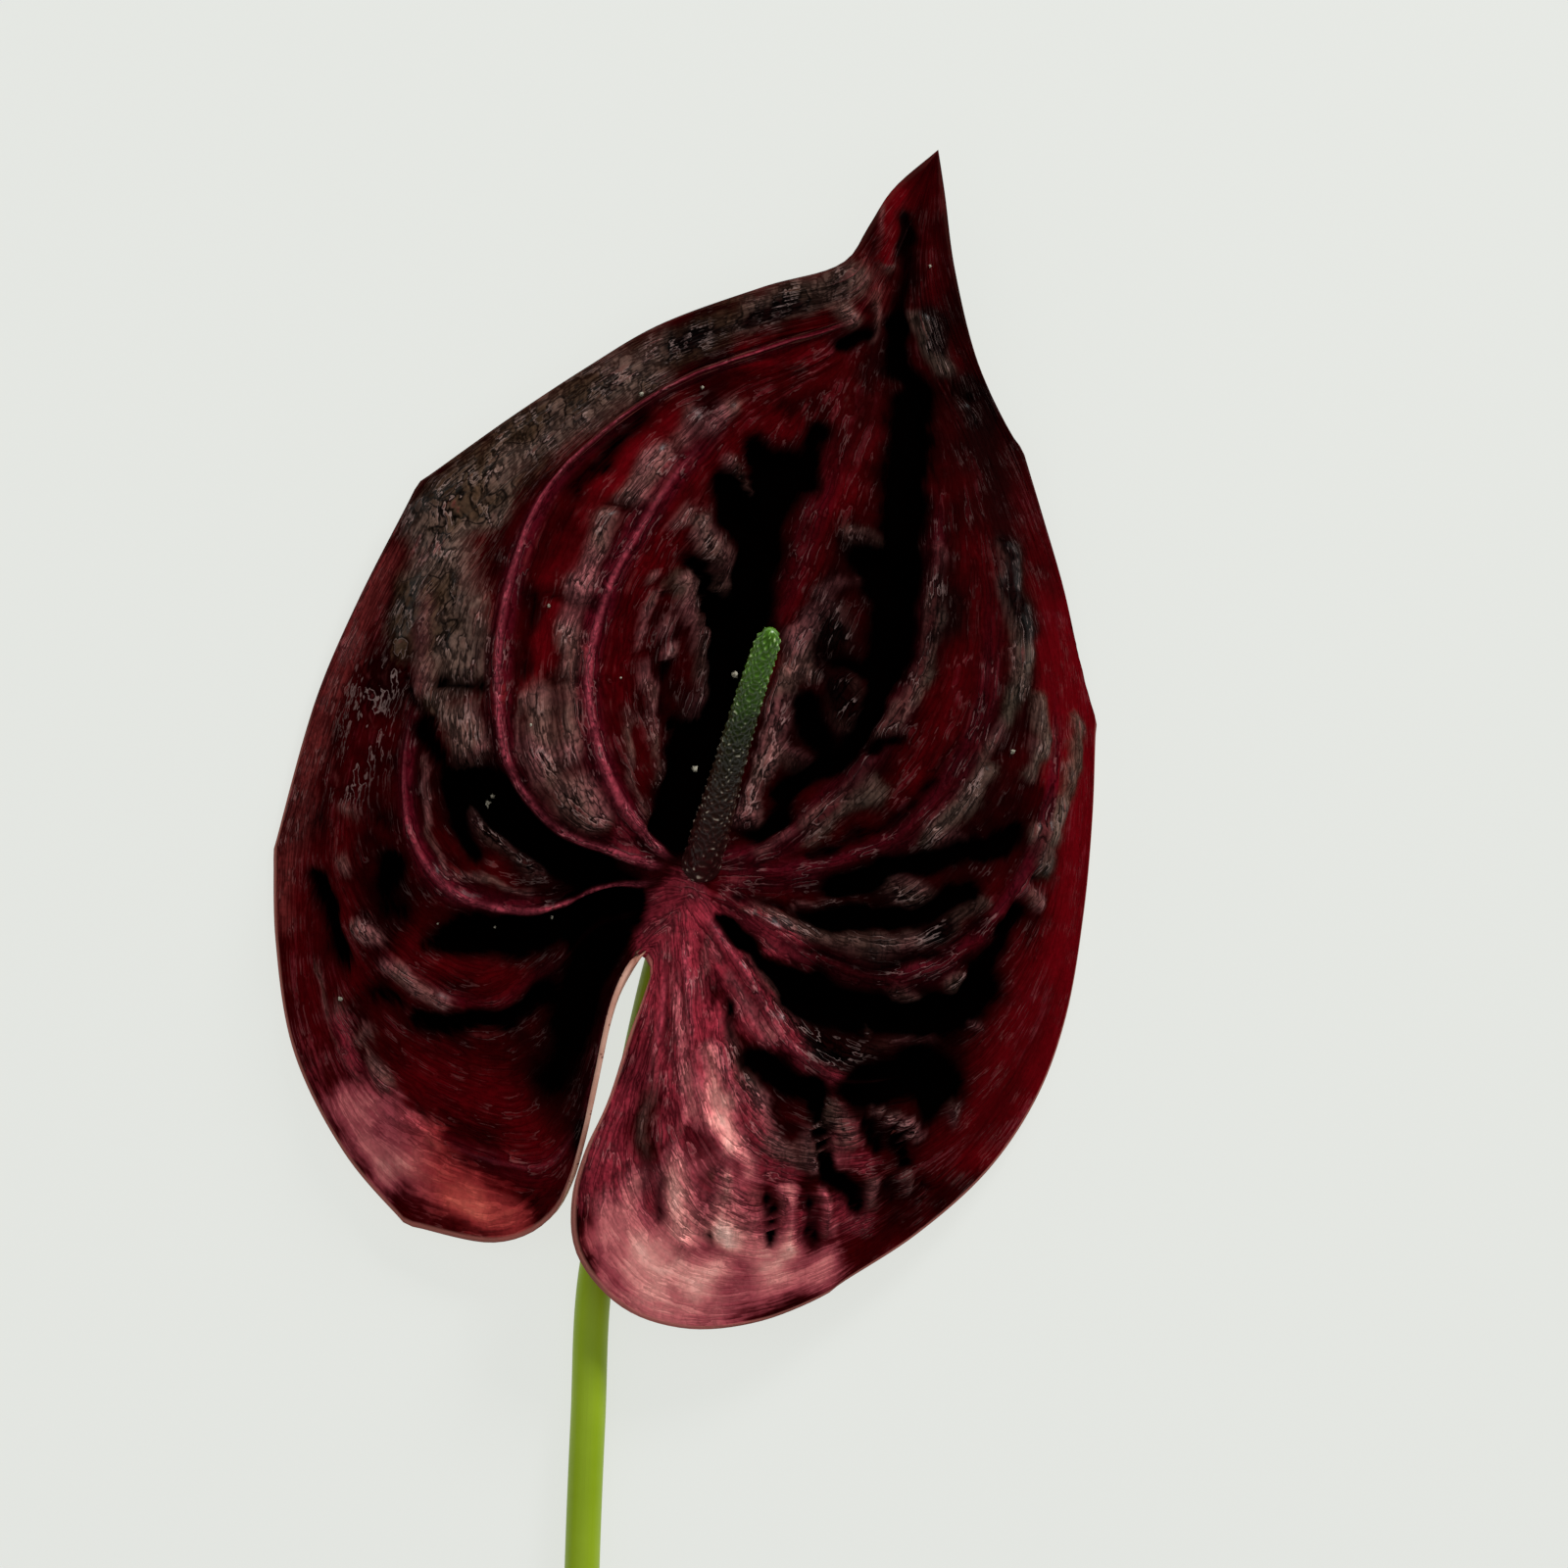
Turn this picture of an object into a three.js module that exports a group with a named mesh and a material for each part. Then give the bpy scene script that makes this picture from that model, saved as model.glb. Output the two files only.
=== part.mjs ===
// An anthurium cut flower lying face up: a heart-shaped spathe with its spadix, on a long stem.
// Millimetres, +Z up. The origin is on the table, under the middle of the whole flower.
import * as THREE from 'three';
import { mergeVertices } from 'three/addons/utils/BufferGeometryUtils.js';

// Driving dimensions
const SPATHE_WIDTH = 127;
const SPATHE_THICKNESS = 1.0;
const STEM_DIAMETER = 5.4;
const NECK_DIAMETER = 5.0;
const SPADIX_BASE_DIAMETER = 7.0;
const SPADIX_TOP_DIAMETER = 4.2;
const CLEARANCE = 0.35;

// Relief of the spathe. Where neighbouring veins are closer than the full spacing it gets lower,
// and it starts from nothing at the spadix's foot.
const VEIN_RISE = 0.7;
const PAD_RISE = 1.0;
const QUILT_RISE = 0.35;
const FULL_RELIEF_SPACING = 9;
const RELIEF_START = 0.015;
const RELIEF_FULL = 0.08;

// Relief of the spadix
const FLORET_RISE = 0.28;
const FLORETS_ROUND = 9;
const FLORET_ROWS = 30;
const SPADIX_FOOT_DIAMETER = 6.2;
const SPADIX_FOOT_SHARE = 0.12;
const SPADIX_TIP_SHARE = 0.07;
const SPADIX_TIP_ROUNDING = 0.97;

// The veins, the stem and the spadix are drawn on a sketch grid as [u, v, height]: u to the right
// and v towards the lower end of the stem in grid units, and the height above the table in mm.
const SKETCH_SPATHE_WIDTH = 846;
const SKETCH_UNIT = SPATHE_WIDTH / SKETCH_SPATHE_WIDTH;
const SKETCH_ORIGIN_U = 698.6;
const SKETCH_ORIGIN_V = 1485.3;

// Every line of the spathe runs from the sinus to the tip, from the left margin to the right one.
const TIP = [957, 154, 17];
const LEFT_MARGIN = [
  [653, 977, 10.8], [642, 997, 11.2], [627, 1055, 11.8], [613, 1125, 11.2], [591, 1195, 9.4],
  [570, 1235, 7.6], [540, 1260, 6.4], [500, 1270, 5], [417, 1253, 3.6], [350, 1180, 2.6],
  [297, 1075, 1.8], [278, 960, 1.2], [276, 868, 0.8], [320, 712, 1.8], [363, 612, 3], [425, 492, 5.5],
  [520, 425, 8], [600, 373, 10], [670, 332, 11], [780, 292, 12.4], [862, 267, 13.8], [886, 232, 15],
  [910, 195, 16], TIP];
const LEFT_5 = [
  [667, 948, 11.4], [640, 985, 9.5], [612, 1060, 8], [575, 1140, 7.5], [510, 1175, 8.5], [430, 1152, 9],
  [365, 1100, 7.5], [327, 1010, 5.5], [318, 920, 5], [332, 800, 6], [360, 690, 7], [398, 605, 8.2],
  [450, 513, 9.6], [532, 443, 11], [609, 387, 12], [677, 345, 12.5], [785, 306, 13.3], [866, 283, 14.3],
  [893, 245, 15], TIP];
const LEFT_4 = [
  [680, 922, 12.2], [652, 932, 11.6], [610, 948, 11], [555, 1000, 10.5], [500, 1035, 12], [430, 1010, 13],
  [375, 960, 12], [342, 890, 10.5], [350, 790, 11.5], [384, 690, 12.4], [432, 605, 13], [475, 534, 13.5],
  [545, 462, 14], [618, 402, 14.2], [684, 360, 14.2], [790, 321, 14.3], [869, 297, 14.3], [897, 255, 14],
  TIP];
const LEFT_3 = [
  [688, 898, 12.7], [662, 902, 12.8], [620, 912, 13.5], [545, 930, 15], [470, 914, 16.5], [427, 865, 17],
  [414, 790, 17], [428, 700, 17.2], [468, 610, 17.2], [502, 556, 17], [557, 480, 16.8], [627, 416, 16.4],
  [691, 374, 15.9], [796, 336, 15], [871, 310, 14], [899, 265, 13.5], TIP];
const LEFT_2 = [
  [694, 889, 12.8], [672, 880, 13.2], [640, 868, 15], [575, 842, 17.5], [525, 785, 20], [510, 700, 20.6],
  [520, 600, 20.2], [560, 500, 19], [640, 424, 17.6], [698, 388, 16.8], [800, 350, 15.2],
  [873, 322, 13.8], [902, 275, 13], TIP];
const LEFT_1 = [
  [700, 884, 12.8], [680, 872, 13.2], [652, 846, 16], [620, 790, 19.5], [603, 700, 21.5],
  [615, 610, 21.5], [650, 535, 20.5], [700, 465, 18.5], [765, 408, 15.5], [850, 360, 13],
  [904, 288, 12.3], TIP];
const MIDRIB = [
  [710, 880, 12.8], [716, 858, 12.5], [732, 800, 10.5], [775, 650, 11], [805, 590, 11.8], [838, 500, 12.5],
  [868, 420, 12], [893, 350, 11.5], [913, 285, 11.5], TIP];
const RIGHT_1 = [
  [718, 887, 12.8], [742, 880, 12.9], [790, 862, 14], [845, 817, 15.5], [895, 750, 17], [932, 680, 17.5],
  [948, 600, 17.5], [950, 510, 16.5], [940, 430, 14], [925, 360, 12.5], [927, 285, 12.5], TIP];
const RIGHT_2 = [
  [717, 895, 12.8], [745, 896, 13], [830, 889, 15], [905, 865, 17], [965, 808, 17.5], [1003, 735, 17],
  [1015, 640, 16.5], [1008, 550, 15], [985, 455, 13.5], [950, 365, 13], [938, 285, 13.5], TIP];
const RIGHT_3 = [
  [712, 902, 12.8], [738, 915, 13], [790, 950, 14.5], [850, 985, 16], [920, 998, 16.5], [990, 965, 15.5],
  [1045, 900, 13.5], [1073, 820, 11], [1080, 730, 9.5], [1064, 630, 10], [1038, 540, 10.5], [1003, 450, 11.5],
  [966, 365, 12.5], [948, 285, 14], TIP];
const RIGHT_4 = [
  [705, 912, 12.7], [730, 947, 13.3], [765, 1000, 15], [805, 1065, 16], [860, 1103, 15.5], [930, 1100, 13.5],
  [1000, 1060, 11], [1055, 985, 8.5], [1084, 890, 6.5], [1096, 790, 5.8], [1090, 690, 6.2], [1066, 580, 7.5],
  [1032, 490, 9], [993, 400, 11], [961, 320, 12.5], [951, 260, 14.5], TIP];
const RIGHT_5 = [
  [693, 928, 12.4], [705, 1000, 14.5], [722, 1100, 16], [765, 1170, 15.5], [830, 1200, 13], [920, 1190, 10],
  [1000, 1135, 7.5], [1058, 1050, 5.5], [1092, 950, 4], [1105, 850, 3.3], [1107, 750, 3.6], [1093, 650, 4.6],
  [1063, 550, 6], [1026, 460, 8.5], [987, 375, 11], [962, 300, 13], [955, 245, 15], TIP];
const RIGHT_6 = [
  [678, 952, 11.9], [677, 1030, 13.8], [660, 1110, 15.5], [652, 1190, 15], [690, 1260, 12.5], [770, 1290, 10],
  [870, 1262, 7.5], [960, 1205, 5.5], [1030, 1125, 4], [1074, 1035, 2.8], [1100, 935, 2], [1111, 840, 1.7],
  [1114, 745, 2.2], [1094, 640, 3.6], [1064, 540, 5.6], [1031, 455, 8], [995, 375, 11], [970, 300, 13.5],
  [959, 240, 15.5], TIP];
const RIGHT_MARGIN = [
  [658, 978, 11.1], [664, 990, 11.8], [657, 1015, 12.8], [642, 1056, 14.4], [620, 1124, 15.6],
  [597, 1175, 15.8], [584, 1225, 15.2], [589, 1281, 13], [635, 1335, 10.5], [700, 1357, 8.5],
  [775, 1350, 7.5], [860, 1312, 6], [935, 1262, 5], [1010, 1195, 3.5], [1060, 1120, 2.5], [1089, 1040, 1.8],
  [1108, 930, 1.1], [1117, 830, 0.8], [1121, 735, 1], [1105, 680, 1.8], [1087, 600, 3.2], [1065, 525, 5.2],
  [1040, 453, 7.8], [1000, 375, 11], [974, 275, 15], [964, 200, 16.5], TIP];
const LINES = [
  LEFT_MARGIN, LEFT_5, LEFT_4, LEFT_3, LEFT_2, LEFT_1, MIDRIB,
  RIGHT_1, RIGHT_2, RIGHT_3, RIGHT_4, RIGHT_5, RIGHT_6, RIGHT_MARGIN];
const MIDRIB_INDEX = LINES.indexOf(MIDRIB);

// Facets of the spathe: steps from line to line, and rows from the sinus to the tip
const STEPS_BETWEEN_LINES = [3, 3, 4, 4, 4, 4, 4, 4, 4, 4, 3, 3, 3];
const SPATHE_ROWS = 44;
const SPARSE_BASE_ROWS = 1;
const SPARSE_TIP_ROWS = 3;
const LAST_ROW_LINES = [0, 3, 6, 10, 13];

// Facets of the stem and of the curves
const STEM_SIDES = 16;
const STEM_RINGS = 44;
const STEM_RING_CROWDING = 2.2;
const NECK_START = 0.955;
const CURVE_DIVISIONS = 400;
const NORMAL_STEP = 0.01;
const TIP_NORMAL_SHARE = 0.03;
const MERGE_TOLERANCE = 1e-4;
const SIDE_AXIS = new THREE.Vector3(1, 0, 0);
const UP = new THREE.Vector3(0, 0, 1);

// The stem's centre line from its cut end to its neck, and the spadix from its foot to its tip
const STEM_LINE = [
  [566, 2818, 2.7], [572, 2500, 2.7], [583, 2100, 2.7], [589, 1800, 2.7], [593, 1600, 2.7], [599, 1450, 2.7],
  [606, 1310, 2.8], [636, 1160, 3.6], [661, 1040, 5], [677, 975, 6.2], [690, 930, 7.6], [701, 904, 9.4]];
const STEM_TOP = [707, 891];
const SPADIX_FOOT = [716, 880];
const SPADIX_LINE = [[724, 853, 16.6], [739, 800, 24], [754, 748, 31.5], [770, 697, 38.8], [788, 645, 46.2]];
const SPATHE_HEIGHT_AT_FOOT = 12.9;

function sketchPoint([u, v, height]) {
  return new THREE.Vector3((u - SKETCH_ORIGIN_U) * SKETCH_UNIT, (SKETCH_ORIGIN_V - v) * SKETCH_UNIT, height);
}

function curveThrough(points) {
  const curve = new THREE.CatmullRomCurve3(points, false, 'centripetal');
  curve.arcLengthDivisions = CURVE_DIVISIONS;
  return curve;
}

function closedGeometry(positions, triangles) {
  const geometry = new THREE.BufferGeometry();
  geometry.setAttribute('position', new THREE.Float32BufferAttribute(positions.flatMap((p) => p.toArray()), 3));
  geometry.setIndex(triangles.flat());
  const merged = mergeVertices(geometry, MERGE_TOLERANCE);
  merged.computeVertexNormals();
  return merged;
}

function namedMesh(name, geometry, color, roughness) {
  const mesh = new THREE.Mesh(geometry, new THREE.MeshStandardMaterial({ color, roughness, metalness: 0 }));
  mesh.name = name;
  return mesh;
}

// The smooth sheet that the relief stands on. Across counts the lines from the left margin, along
// goes from 0 at the sinus to 1 at the tip.
const LINE_CURVES = LINES.map((points) => curveThrough(points.map(sketchPoint)));
const LAST_LINE = LINES.length - 1;

function crossCurve(along) {
  return curveThrough(LINE_CURVES.map((curve) => curve.getPointAt(along)));
}

function sheetPoint(across, along) {
  return crossCurve(along).getPoint(across / LAST_LINE);
}

function sheetNormal(across, along) {
  const place = THREE.MathUtils.clamp(along, NORMAL_STEP, 1 - TIP_NORMAL_SHARE);
  const left = sheetPoint(Math.max(across - NORMAL_STEP, 0), place);
  const right = sheetPoint(Math.min(across + NORMAL_STEP, LAST_LINE), place);
  const near = sheetPoint(across, place - NORMAL_STEP);
  const far = sheetPoint(across, place + NORMAL_STEP);
  return right.sub(left).cross(far.sub(near)).normalize();
}

// Height of the veins, the valleys beside them and the quilted pads between them. The cosine has its
// crests on the veins and midway between them.
function relief(across, along) {
  const gap = Math.min(Math.floor(across), LAST_LINE - 1);
  const share = across - gap;
  const spacing = sheetPoint(gap, along).distanceTo(sheetPoint(gap + 1, along));
  const rooted = THREE.MathUtils.smoothstep(along, RELIEF_START, RELIEF_FULL);
  const strength = rooted * Math.min(spacing / FULL_RELIEF_SPACING, 1);
  const atMargin = (gap === 0 && share < 0.5) || (gap === LAST_LINE - 1 && share > 0.5);
  const vein = atMargin ? 0 : VEIN_RISE * Math.cos(4 * Math.PI * share);
  const pad = Math.sin(Math.PI * share) ** 2;
  const quilt = QUILT_RISE * Math.cos(Math.PI * SPATHE_ROWS * along);
  return strength * (vein + pad * (PAD_RISE + quilt));
}

function spatheColumns(row) {
  if (row === SPATHE_ROWS) return [MIDRIB_INDEX];
  if (row === SPATHE_ROWS - 1) return LAST_ROW_LINES;
  const columns = [];
  const sparse = row < SPARSE_BASE_ROWS || row > SPATHE_ROWS - SPARSE_TIP_ROWS;
  STEPS_BETWEEN_LINES.forEach((steps, gap) => {
    const count = sparse ? 1 : steps;
    for (let step = 0; step < count; step += 1) columns.push(gap + step / count);
  });
  return [...columns, LAST_LINE];
}

// Fills the strip between two rows of vertices, each an array of { across, index }
function stitch(lower, upper, triangles) {
  let i = 0;
  let j = 0;
  while (i < lower.length - 1 || j < upper.length - 1) {
    const lowerLeft = i < lower.length - 1;
    const upperLeft = j < upper.length - 1;
    if (lowerLeft && (!upperLeft || lower[i + 1].across <= upper[j + 1].across)) {
      triangles.push([lower[i].index, lower[i + 1].index, upper[j].index]);
      i += 1;
    } else {
      triangles.push([lower[i].index, upper[j + 1].index, upper[j].index]);
      j += 1;
    }
  }
}

function boundaryEdges(triangles) {
  const edges = new Map();
  for (const [a, b, c] of triangles) {
    for (const [from, to] of [[a, b], [b, c], [c, a]]) {
      if (!edges.delete(`${to} ${from}`)) edges.set(`${from} ${to}`, [from, to]);
    }
  }
  return [...edges.values()];
}

function spatheGeometry() {
  const front = [];
  const back = [];
  const rows = [];
  for (let row = 0; row <= SPATHE_ROWS; row += 1) {
    const along = row / SPATHE_ROWS;
    rows.push(spatheColumns(row).map((across) => {
      const normal = sheetNormal(across, along);
      const face = sheetPoint(across, along).addScaledVector(normal, relief(across, along));
      front.push(face);
      back.push(face.clone().addScaledVector(normal, -SPATHE_THICKNESS));
      return { across, index: front.length - 1 };
    }));
  }
  const face = [];
  for (let row = 0; row < SPATHE_ROWS; row += 1) stitch(rows[row], rows[row + 1], face);

  // The seam from the sinus to the spadix's foot, where the left half of the first row meets the right one
  const left = rows[0].filter(({ across }) => across <= MIDRIB_INDEX);
  const right = rows[0].filter(({ across }) => across > MIDRIB_INDEX).reverse();
  const rightAsLeft = right.map(({ index }, i) => ({ index, across: i }));
  stitch(rightAsLeft, left, face);
  const offset = front.length;
  const rim = boundaryEdges(face).flatMap(([a, b]) => [[b, a, a + offset], [b, a + offset, b + offset]]);
  const underside = face.map(([a, b, c]) => [c + offset, b + offset, a + offset]);
  return closedGeometry([...front, ...back], [...face, ...underside, ...rim]);
}

// A closed tube through rings of { centre, normal, radii }, one radius a side
function ringTube(rings) {
  const positions = [];
  const sides = rings[0].radii.length;
  for (const { centre, normal, radii } of rings) {
    const up = new THREE.Vector3().crossVectors(normal, SIDE_AXIS).normalize();
    const side = new THREE.Vector3().crossVectors(up, normal);
    radii.forEach((radius, i) => {
      const angle = (2 * Math.PI * i) / sides;
      const point = centre.clone().addScaledVector(side, radius * Math.cos(angle));
      positions.push(point.addScaledVector(up, radius * Math.sin(angle)));
    });
  }
  const start = positions.push(rings[0].centre) - 1;
  const end = positions.push(rings[rings.length - 1].centre) - 1;
  const triangles = [];
  for (let i = 0; i < sides; i += 1) {
    const next = (i + 1) % sides;
    triangles.push([start, next, i]);
    for (let ring = 0; ring < rings.length - 1; ring += 1) {
      const here = ring * sides;
      const there = here + sides;
      triangles.push([here + i, here + next, there + next], [here + i, there + next, there + i]);
    }
    const last = (rings.length - 1) * sides;
    triangles.push([end, last + i, last + next]);
  }
  return closedGeometry(positions, triangles);
}

function stemGeometry() {
  const topHeight = SPATHE_HEIGHT_AT_FOOT - SPATHE_THICKNESS - CLEARANCE;
  const top = sketchPoint([...STEM_TOP, topHeight]);
  const curve = curveThrough([...STEM_LINE.map(sketchPoint), top]);
  const rings = [];
  for (let ring = 0; ring <= STEM_RINGS; ring += 1) {
    const along = 1 - (1 - ring / STEM_RINGS) ** STEM_RING_CROWDING;
    const neck = THREE.MathUtils.smoothstep(along, NECK_START, 1);
    const normal = curve.getTangentAt(along).lerp(UP, neck).normalize();
    const radius = THREE.MathUtils.lerp(STEM_DIAMETER, NECK_DIAMETER, neck) / 2;
    rings.push({ centre: curve.getPointAt(along), normal, radii: Array(STEM_SIDES).fill(radius) });
  }
  return ringTube(rings);
}

function spadixRadius(along) {
  const widening = Math.min(along / SPADIX_FOOT_SHARE, 1);
  const base = THREE.MathUtils.lerp(SPADIX_FOOT_DIAMETER, SPADIX_BASE_DIAMETER, widening);
  const taper = THREE.MathUtils.lerp(base, SPADIX_TOP_DIAMETER, along) / 2;
  const intoTip = Math.max(0, (along - 1 + SPADIX_TIP_SHARE) / SPADIX_TIP_SHARE);
  return taper * Math.sqrt(1 - (intoTip * SPADIX_TIP_ROUNDING) ** 2);
}

function spadixGeometry() {
  const foot = sketchPoint([...SPADIX_FOOT, SPATHE_HEIGHT_AT_FOOT + CLEARANCE]);
  const curve = curveThrough([foot, ...SPADIX_LINE.map(sketchPoint)]);
  const rings = [];
  const ringCount = 2 * FLORET_ROWS;
  const sides = 2 * FLORETS_ROUND;
  for (let ring = 0; ring <= ringCount; ring += 1) {
    const along = ring / ringCount;
    const lean = THREE.MathUtils.smoothstep(along, 0, SPADIX_FOOT_SHARE);
    const normal = UP.clone().lerp(curve.getTangentAt(along), lean).normalize();
    const bare = ring === 0 || ring === ringCount;
    const radii = Array.from({ length: sides }, (_, side) => (
      spadixRadius(along) + (!bare && (side + ring) % 2 === 0 ? FLORET_RISE : 0)));
    rings.push({ centre: curve.getPointAt(along), normal, radii });
  }
  return ringTube(rings);
}

const flower = new THREE.Group();
flower.add(namedMesh('stem', stemGeometry(), 0x7fa032, 0.45));
flower.add(namedMesh('spathe', spatheGeometry(), 0x3a0710, 0.3));
flower.add(namedMesh('spadix', spadixGeometry(), 0x4e7a3c, 0.5));

export default flower;
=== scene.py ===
"""An anthurium cut flower, lying face up on a pale table and seen from straight above.

The spathe, the spadix and the stem are drawn on a sketch grid, as [u, v, height]: u to the right and
v towards the cut end of the stem in grid units, and the height above the table in millimetres.
"""
import math

import bmesh
import bpy
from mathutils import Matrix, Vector, noise


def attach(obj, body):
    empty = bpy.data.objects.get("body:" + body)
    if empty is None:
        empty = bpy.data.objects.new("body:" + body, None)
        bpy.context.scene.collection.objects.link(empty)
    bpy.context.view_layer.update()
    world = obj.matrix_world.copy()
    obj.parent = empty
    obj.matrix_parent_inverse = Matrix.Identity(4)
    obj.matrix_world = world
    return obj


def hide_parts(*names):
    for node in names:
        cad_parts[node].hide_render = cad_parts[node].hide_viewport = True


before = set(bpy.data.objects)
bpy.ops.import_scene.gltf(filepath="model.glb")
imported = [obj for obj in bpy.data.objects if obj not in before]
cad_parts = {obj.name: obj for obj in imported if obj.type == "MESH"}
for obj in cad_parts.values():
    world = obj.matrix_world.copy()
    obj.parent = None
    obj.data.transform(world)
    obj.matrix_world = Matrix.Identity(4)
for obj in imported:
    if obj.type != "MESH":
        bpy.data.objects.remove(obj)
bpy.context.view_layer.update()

# One seed for the noise that shapes the flower, so that each run gives the same one
NOISE_SEED = 2
noise.seed_set(NOISE_SEED)

# Sizes in millimetres, also that of a unit of the sketch grid
MM = 0.001
SPATHE_WIDTH = 127.0
SKETCH_SPATHE_WIDTH = 846.0
SKETCH_UNIT = SPATHE_WIDTH / SKETCH_SPATHE_WIDTH
SKETCH_ORIGIN_U = 698.6
SKETCH_ORIGIN_V = 1485.3
BLADE_THICKNESS = 0.8
TIP_THINNING = 0.9
STEM_DIAMETER = 5.4
NECK_DIAMETER = 5.0
SPADIX_FOOT_DIAMETER = 6.2
SPADIX_BASE_DIAMETER = 7.0
SPADIX_TOP_DIAMETER = 4.2
SPATHE_HEIGHT_AT_FOOT = 12.9
CLEARANCE = 0.35
SPADIX_LENGTH = 42.0
# Nearer vertices than this, in metres, are made one, and shorter knots than this count as none
MERGE_DISTANCE = 0.002 * MM
SAME_KNOT = 1e-4

# Lines of the spathe from the sinus to the tip: the left margin, the veins and the right margin
TIP = (957, 154, 17)
LEFT_MARGIN = [
    (650, 973, 12.8), (641, 983, 13.8), (631, 1002, 15.0), (621, 1030, 15.6), (614, 1060, 15.4),
    (608, 1090, 14.8), (602, 1118, 13.9), (596, 1147, 12.6), (589, 1175, 11.0), (580, 1207, 9.2),
    (566, 1238, 7.6), (540, 1260, 6.4), (500, 1270, 5), (425, 1255, 3.8), (413, 1252, 3.6),
    (404, 1243, 3.5), (350, 1180, 2.6), (297, 1075, 1.8), (278, 960, 1.2), (276, 880, 0.8),
    (276, 868, 0.8), (279, 857, 0.9), (320, 712, 1.8), (363, 612, 3), (420, 502, 5.2), (425, 492, 5.5),
    (435, 485, 5.7), (520, 425, 8), (600, 373, 10), (670, 332, 11), (780, 292, 12.4), (862, 267, 13.8),
    (886, 232, 15), (910, 195, 16), TIP]
LEFT_5 = [
    (664, 957, 11.7), (654, 968, 11.4), (642, 985, 11.2), (630, 1004, 11.0), (619, 1032, 11.0),
    (612, 1060, 11.0), (606, 1088, 10.5), (600, 1113, 9.9), (592, 1141, 9.1), (578, 1168, 8.3),
    (555, 1190, 7.8), (510, 1187, 8.2), (430, 1155, 9), (365, 1100, 7.5), (327, 1010, 5.5),
    (318, 920, 5), (332, 800, 6), (360, 690, 7), (398, 605, 8.2), (450, 513, 9.6), (532, 443, 11),
    (609, 387, 12), (677, 345, 12.5), (785, 306, 13.3), (866, 283, 14.3), (893, 245, 15), TIP]
LEFT_4 = [
    (680, 922, 12.2), (652, 932, 11.6), (610, 948, 11), (555, 1000, 10.5), (500, 1035, 12),
    (430, 1010, 13), (375, 960, 12), (342, 890, 10.5), (350, 790, 11.5), (384, 690, 12.4), (432, 605, 13),
    (475, 534, 13.5), (545, 462, 14), (618, 402, 14.2), (684, 360, 14.2), (790, 321, 14.3),
    (869, 297, 14.3), (897, 255, 14), TIP]
LEFT_3 = [
    (688, 898, 12.7), (662, 902, 12.8), (620, 912, 13.5), (545, 930, 15), (470, 914, 16.5),
    (427, 865, 17), (414, 790, 17), (428, 700, 17.2), (468, 610, 17.2), (502, 556, 17), (557, 480, 16.8),
    (627, 416, 16.4), (691, 374, 15.9), (796, 336, 15), (871, 310, 14), (899, 265, 13.5), TIP]
LEFT_2 = [
    (694, 889, 12.8), (671, 884, 13.2), (638, 874, 15), (571, 848, 17.5), (522, 787, 20),
    (509, 700, 20.6), (520, 600, 20.2), (560, 500, 19), (640, 424, 17.6), (698, 388, 16.8),
    (800, 350, 15.2), (873, 322, 13.8), (902, 275, 13), TIP]
LEFT_1 = [
    (700, 884, 12.8), (680, 872, 13.2), (654, 845, 16), (620, 790, 19.5), (601, 700, 21.5),
    (618, 611, 21.5), (655, 538, 20.5), (704, 468, 18.5), (765, 408, 15.5), (850, 360, 13),
    (904, 288, 12.3), TIP]
MIDRIB = [
    (710, 880, 12.8), (716, 858, 12.5), (732, 800, 10.5), (775, 650, 11), (805, 590, 11.8),
    (838, 500, 12.5), (868, 420, 12), (893, 350, 11.5), (913, 285, 11.5), TIP]
RIGHT_1 = [
    (718, 887, 12.8), (742, 880, 12.9), (790, 862, 14), (845, 817, 15.5), (895, 750, 17), (932, 680, 17.5),
    (948, 600, 17.5), (950, 510, 16.5), (940, 430, 14), (925, 360, 12.5), (927, 285, 12.5), TIP]
RIGHT_2 = [
    (717, 895, 12.8), (745, 896, 13), (830, 889, 15), (905, 865, 17), (965, 808, 17.5), (1003, 735, 17),
    (1015, 640, 16.5), (1008, 550, 15), (985, 455, 13.5), (950, 365, 13), (938, 285, 13.5), TIP]
RIGHT_3 = [
    (712, 902, 12.8), (738, 915, 13), (790, 950, 14.5), (850, 985, 16), (920, 998, 16.5), (990, 965, 15.5),
    (1045, 900, 13.5), (1073, 820, 11), (1080, 730, 9.5), (1064, 630, 10), (1038, 540, 10.5),
    (1003, 450, 11.5), (966, 365, 12.5), (948, 285, 14), TIP]
RIGHT_4 = [
    (705, 912, 12.7), (730, 947, 13.3), (765, 1000, 15), (805, 1065, 16), (860, 1103, 15.5),
    (930, 1100, 13.5), (1000, 1060, 11), (1055, 985, 8.5), (1084, 890, 6.5), (1096, 790, 5.8),
    (1090, 690, 6.2), (1066, 580, 7.5), (1032, 490, 9), (993, 400, 11), (961, 320, 12.5),
    (951, 260, 14.5), TIP]
RIGHT_5 = [
    (693, 928, 12.4), (702, 1000, 14.5), (712, 1100, 16), (744, 1176, 15.5), (824, 1206, 13),
    (920, 1191, 10), (1000, 1135, 7.5), (1058, 1050, 5.5), (1092, 950, 4), (1105, 850, 3.3),
    (1107, 750, 3.6), (1093, 650, 4.6), (1063, 550, 6), (1026, 460, 8.5), (987, 375, 11), (962, 300, 13),
    (955, 245, 15), TIP]
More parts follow.
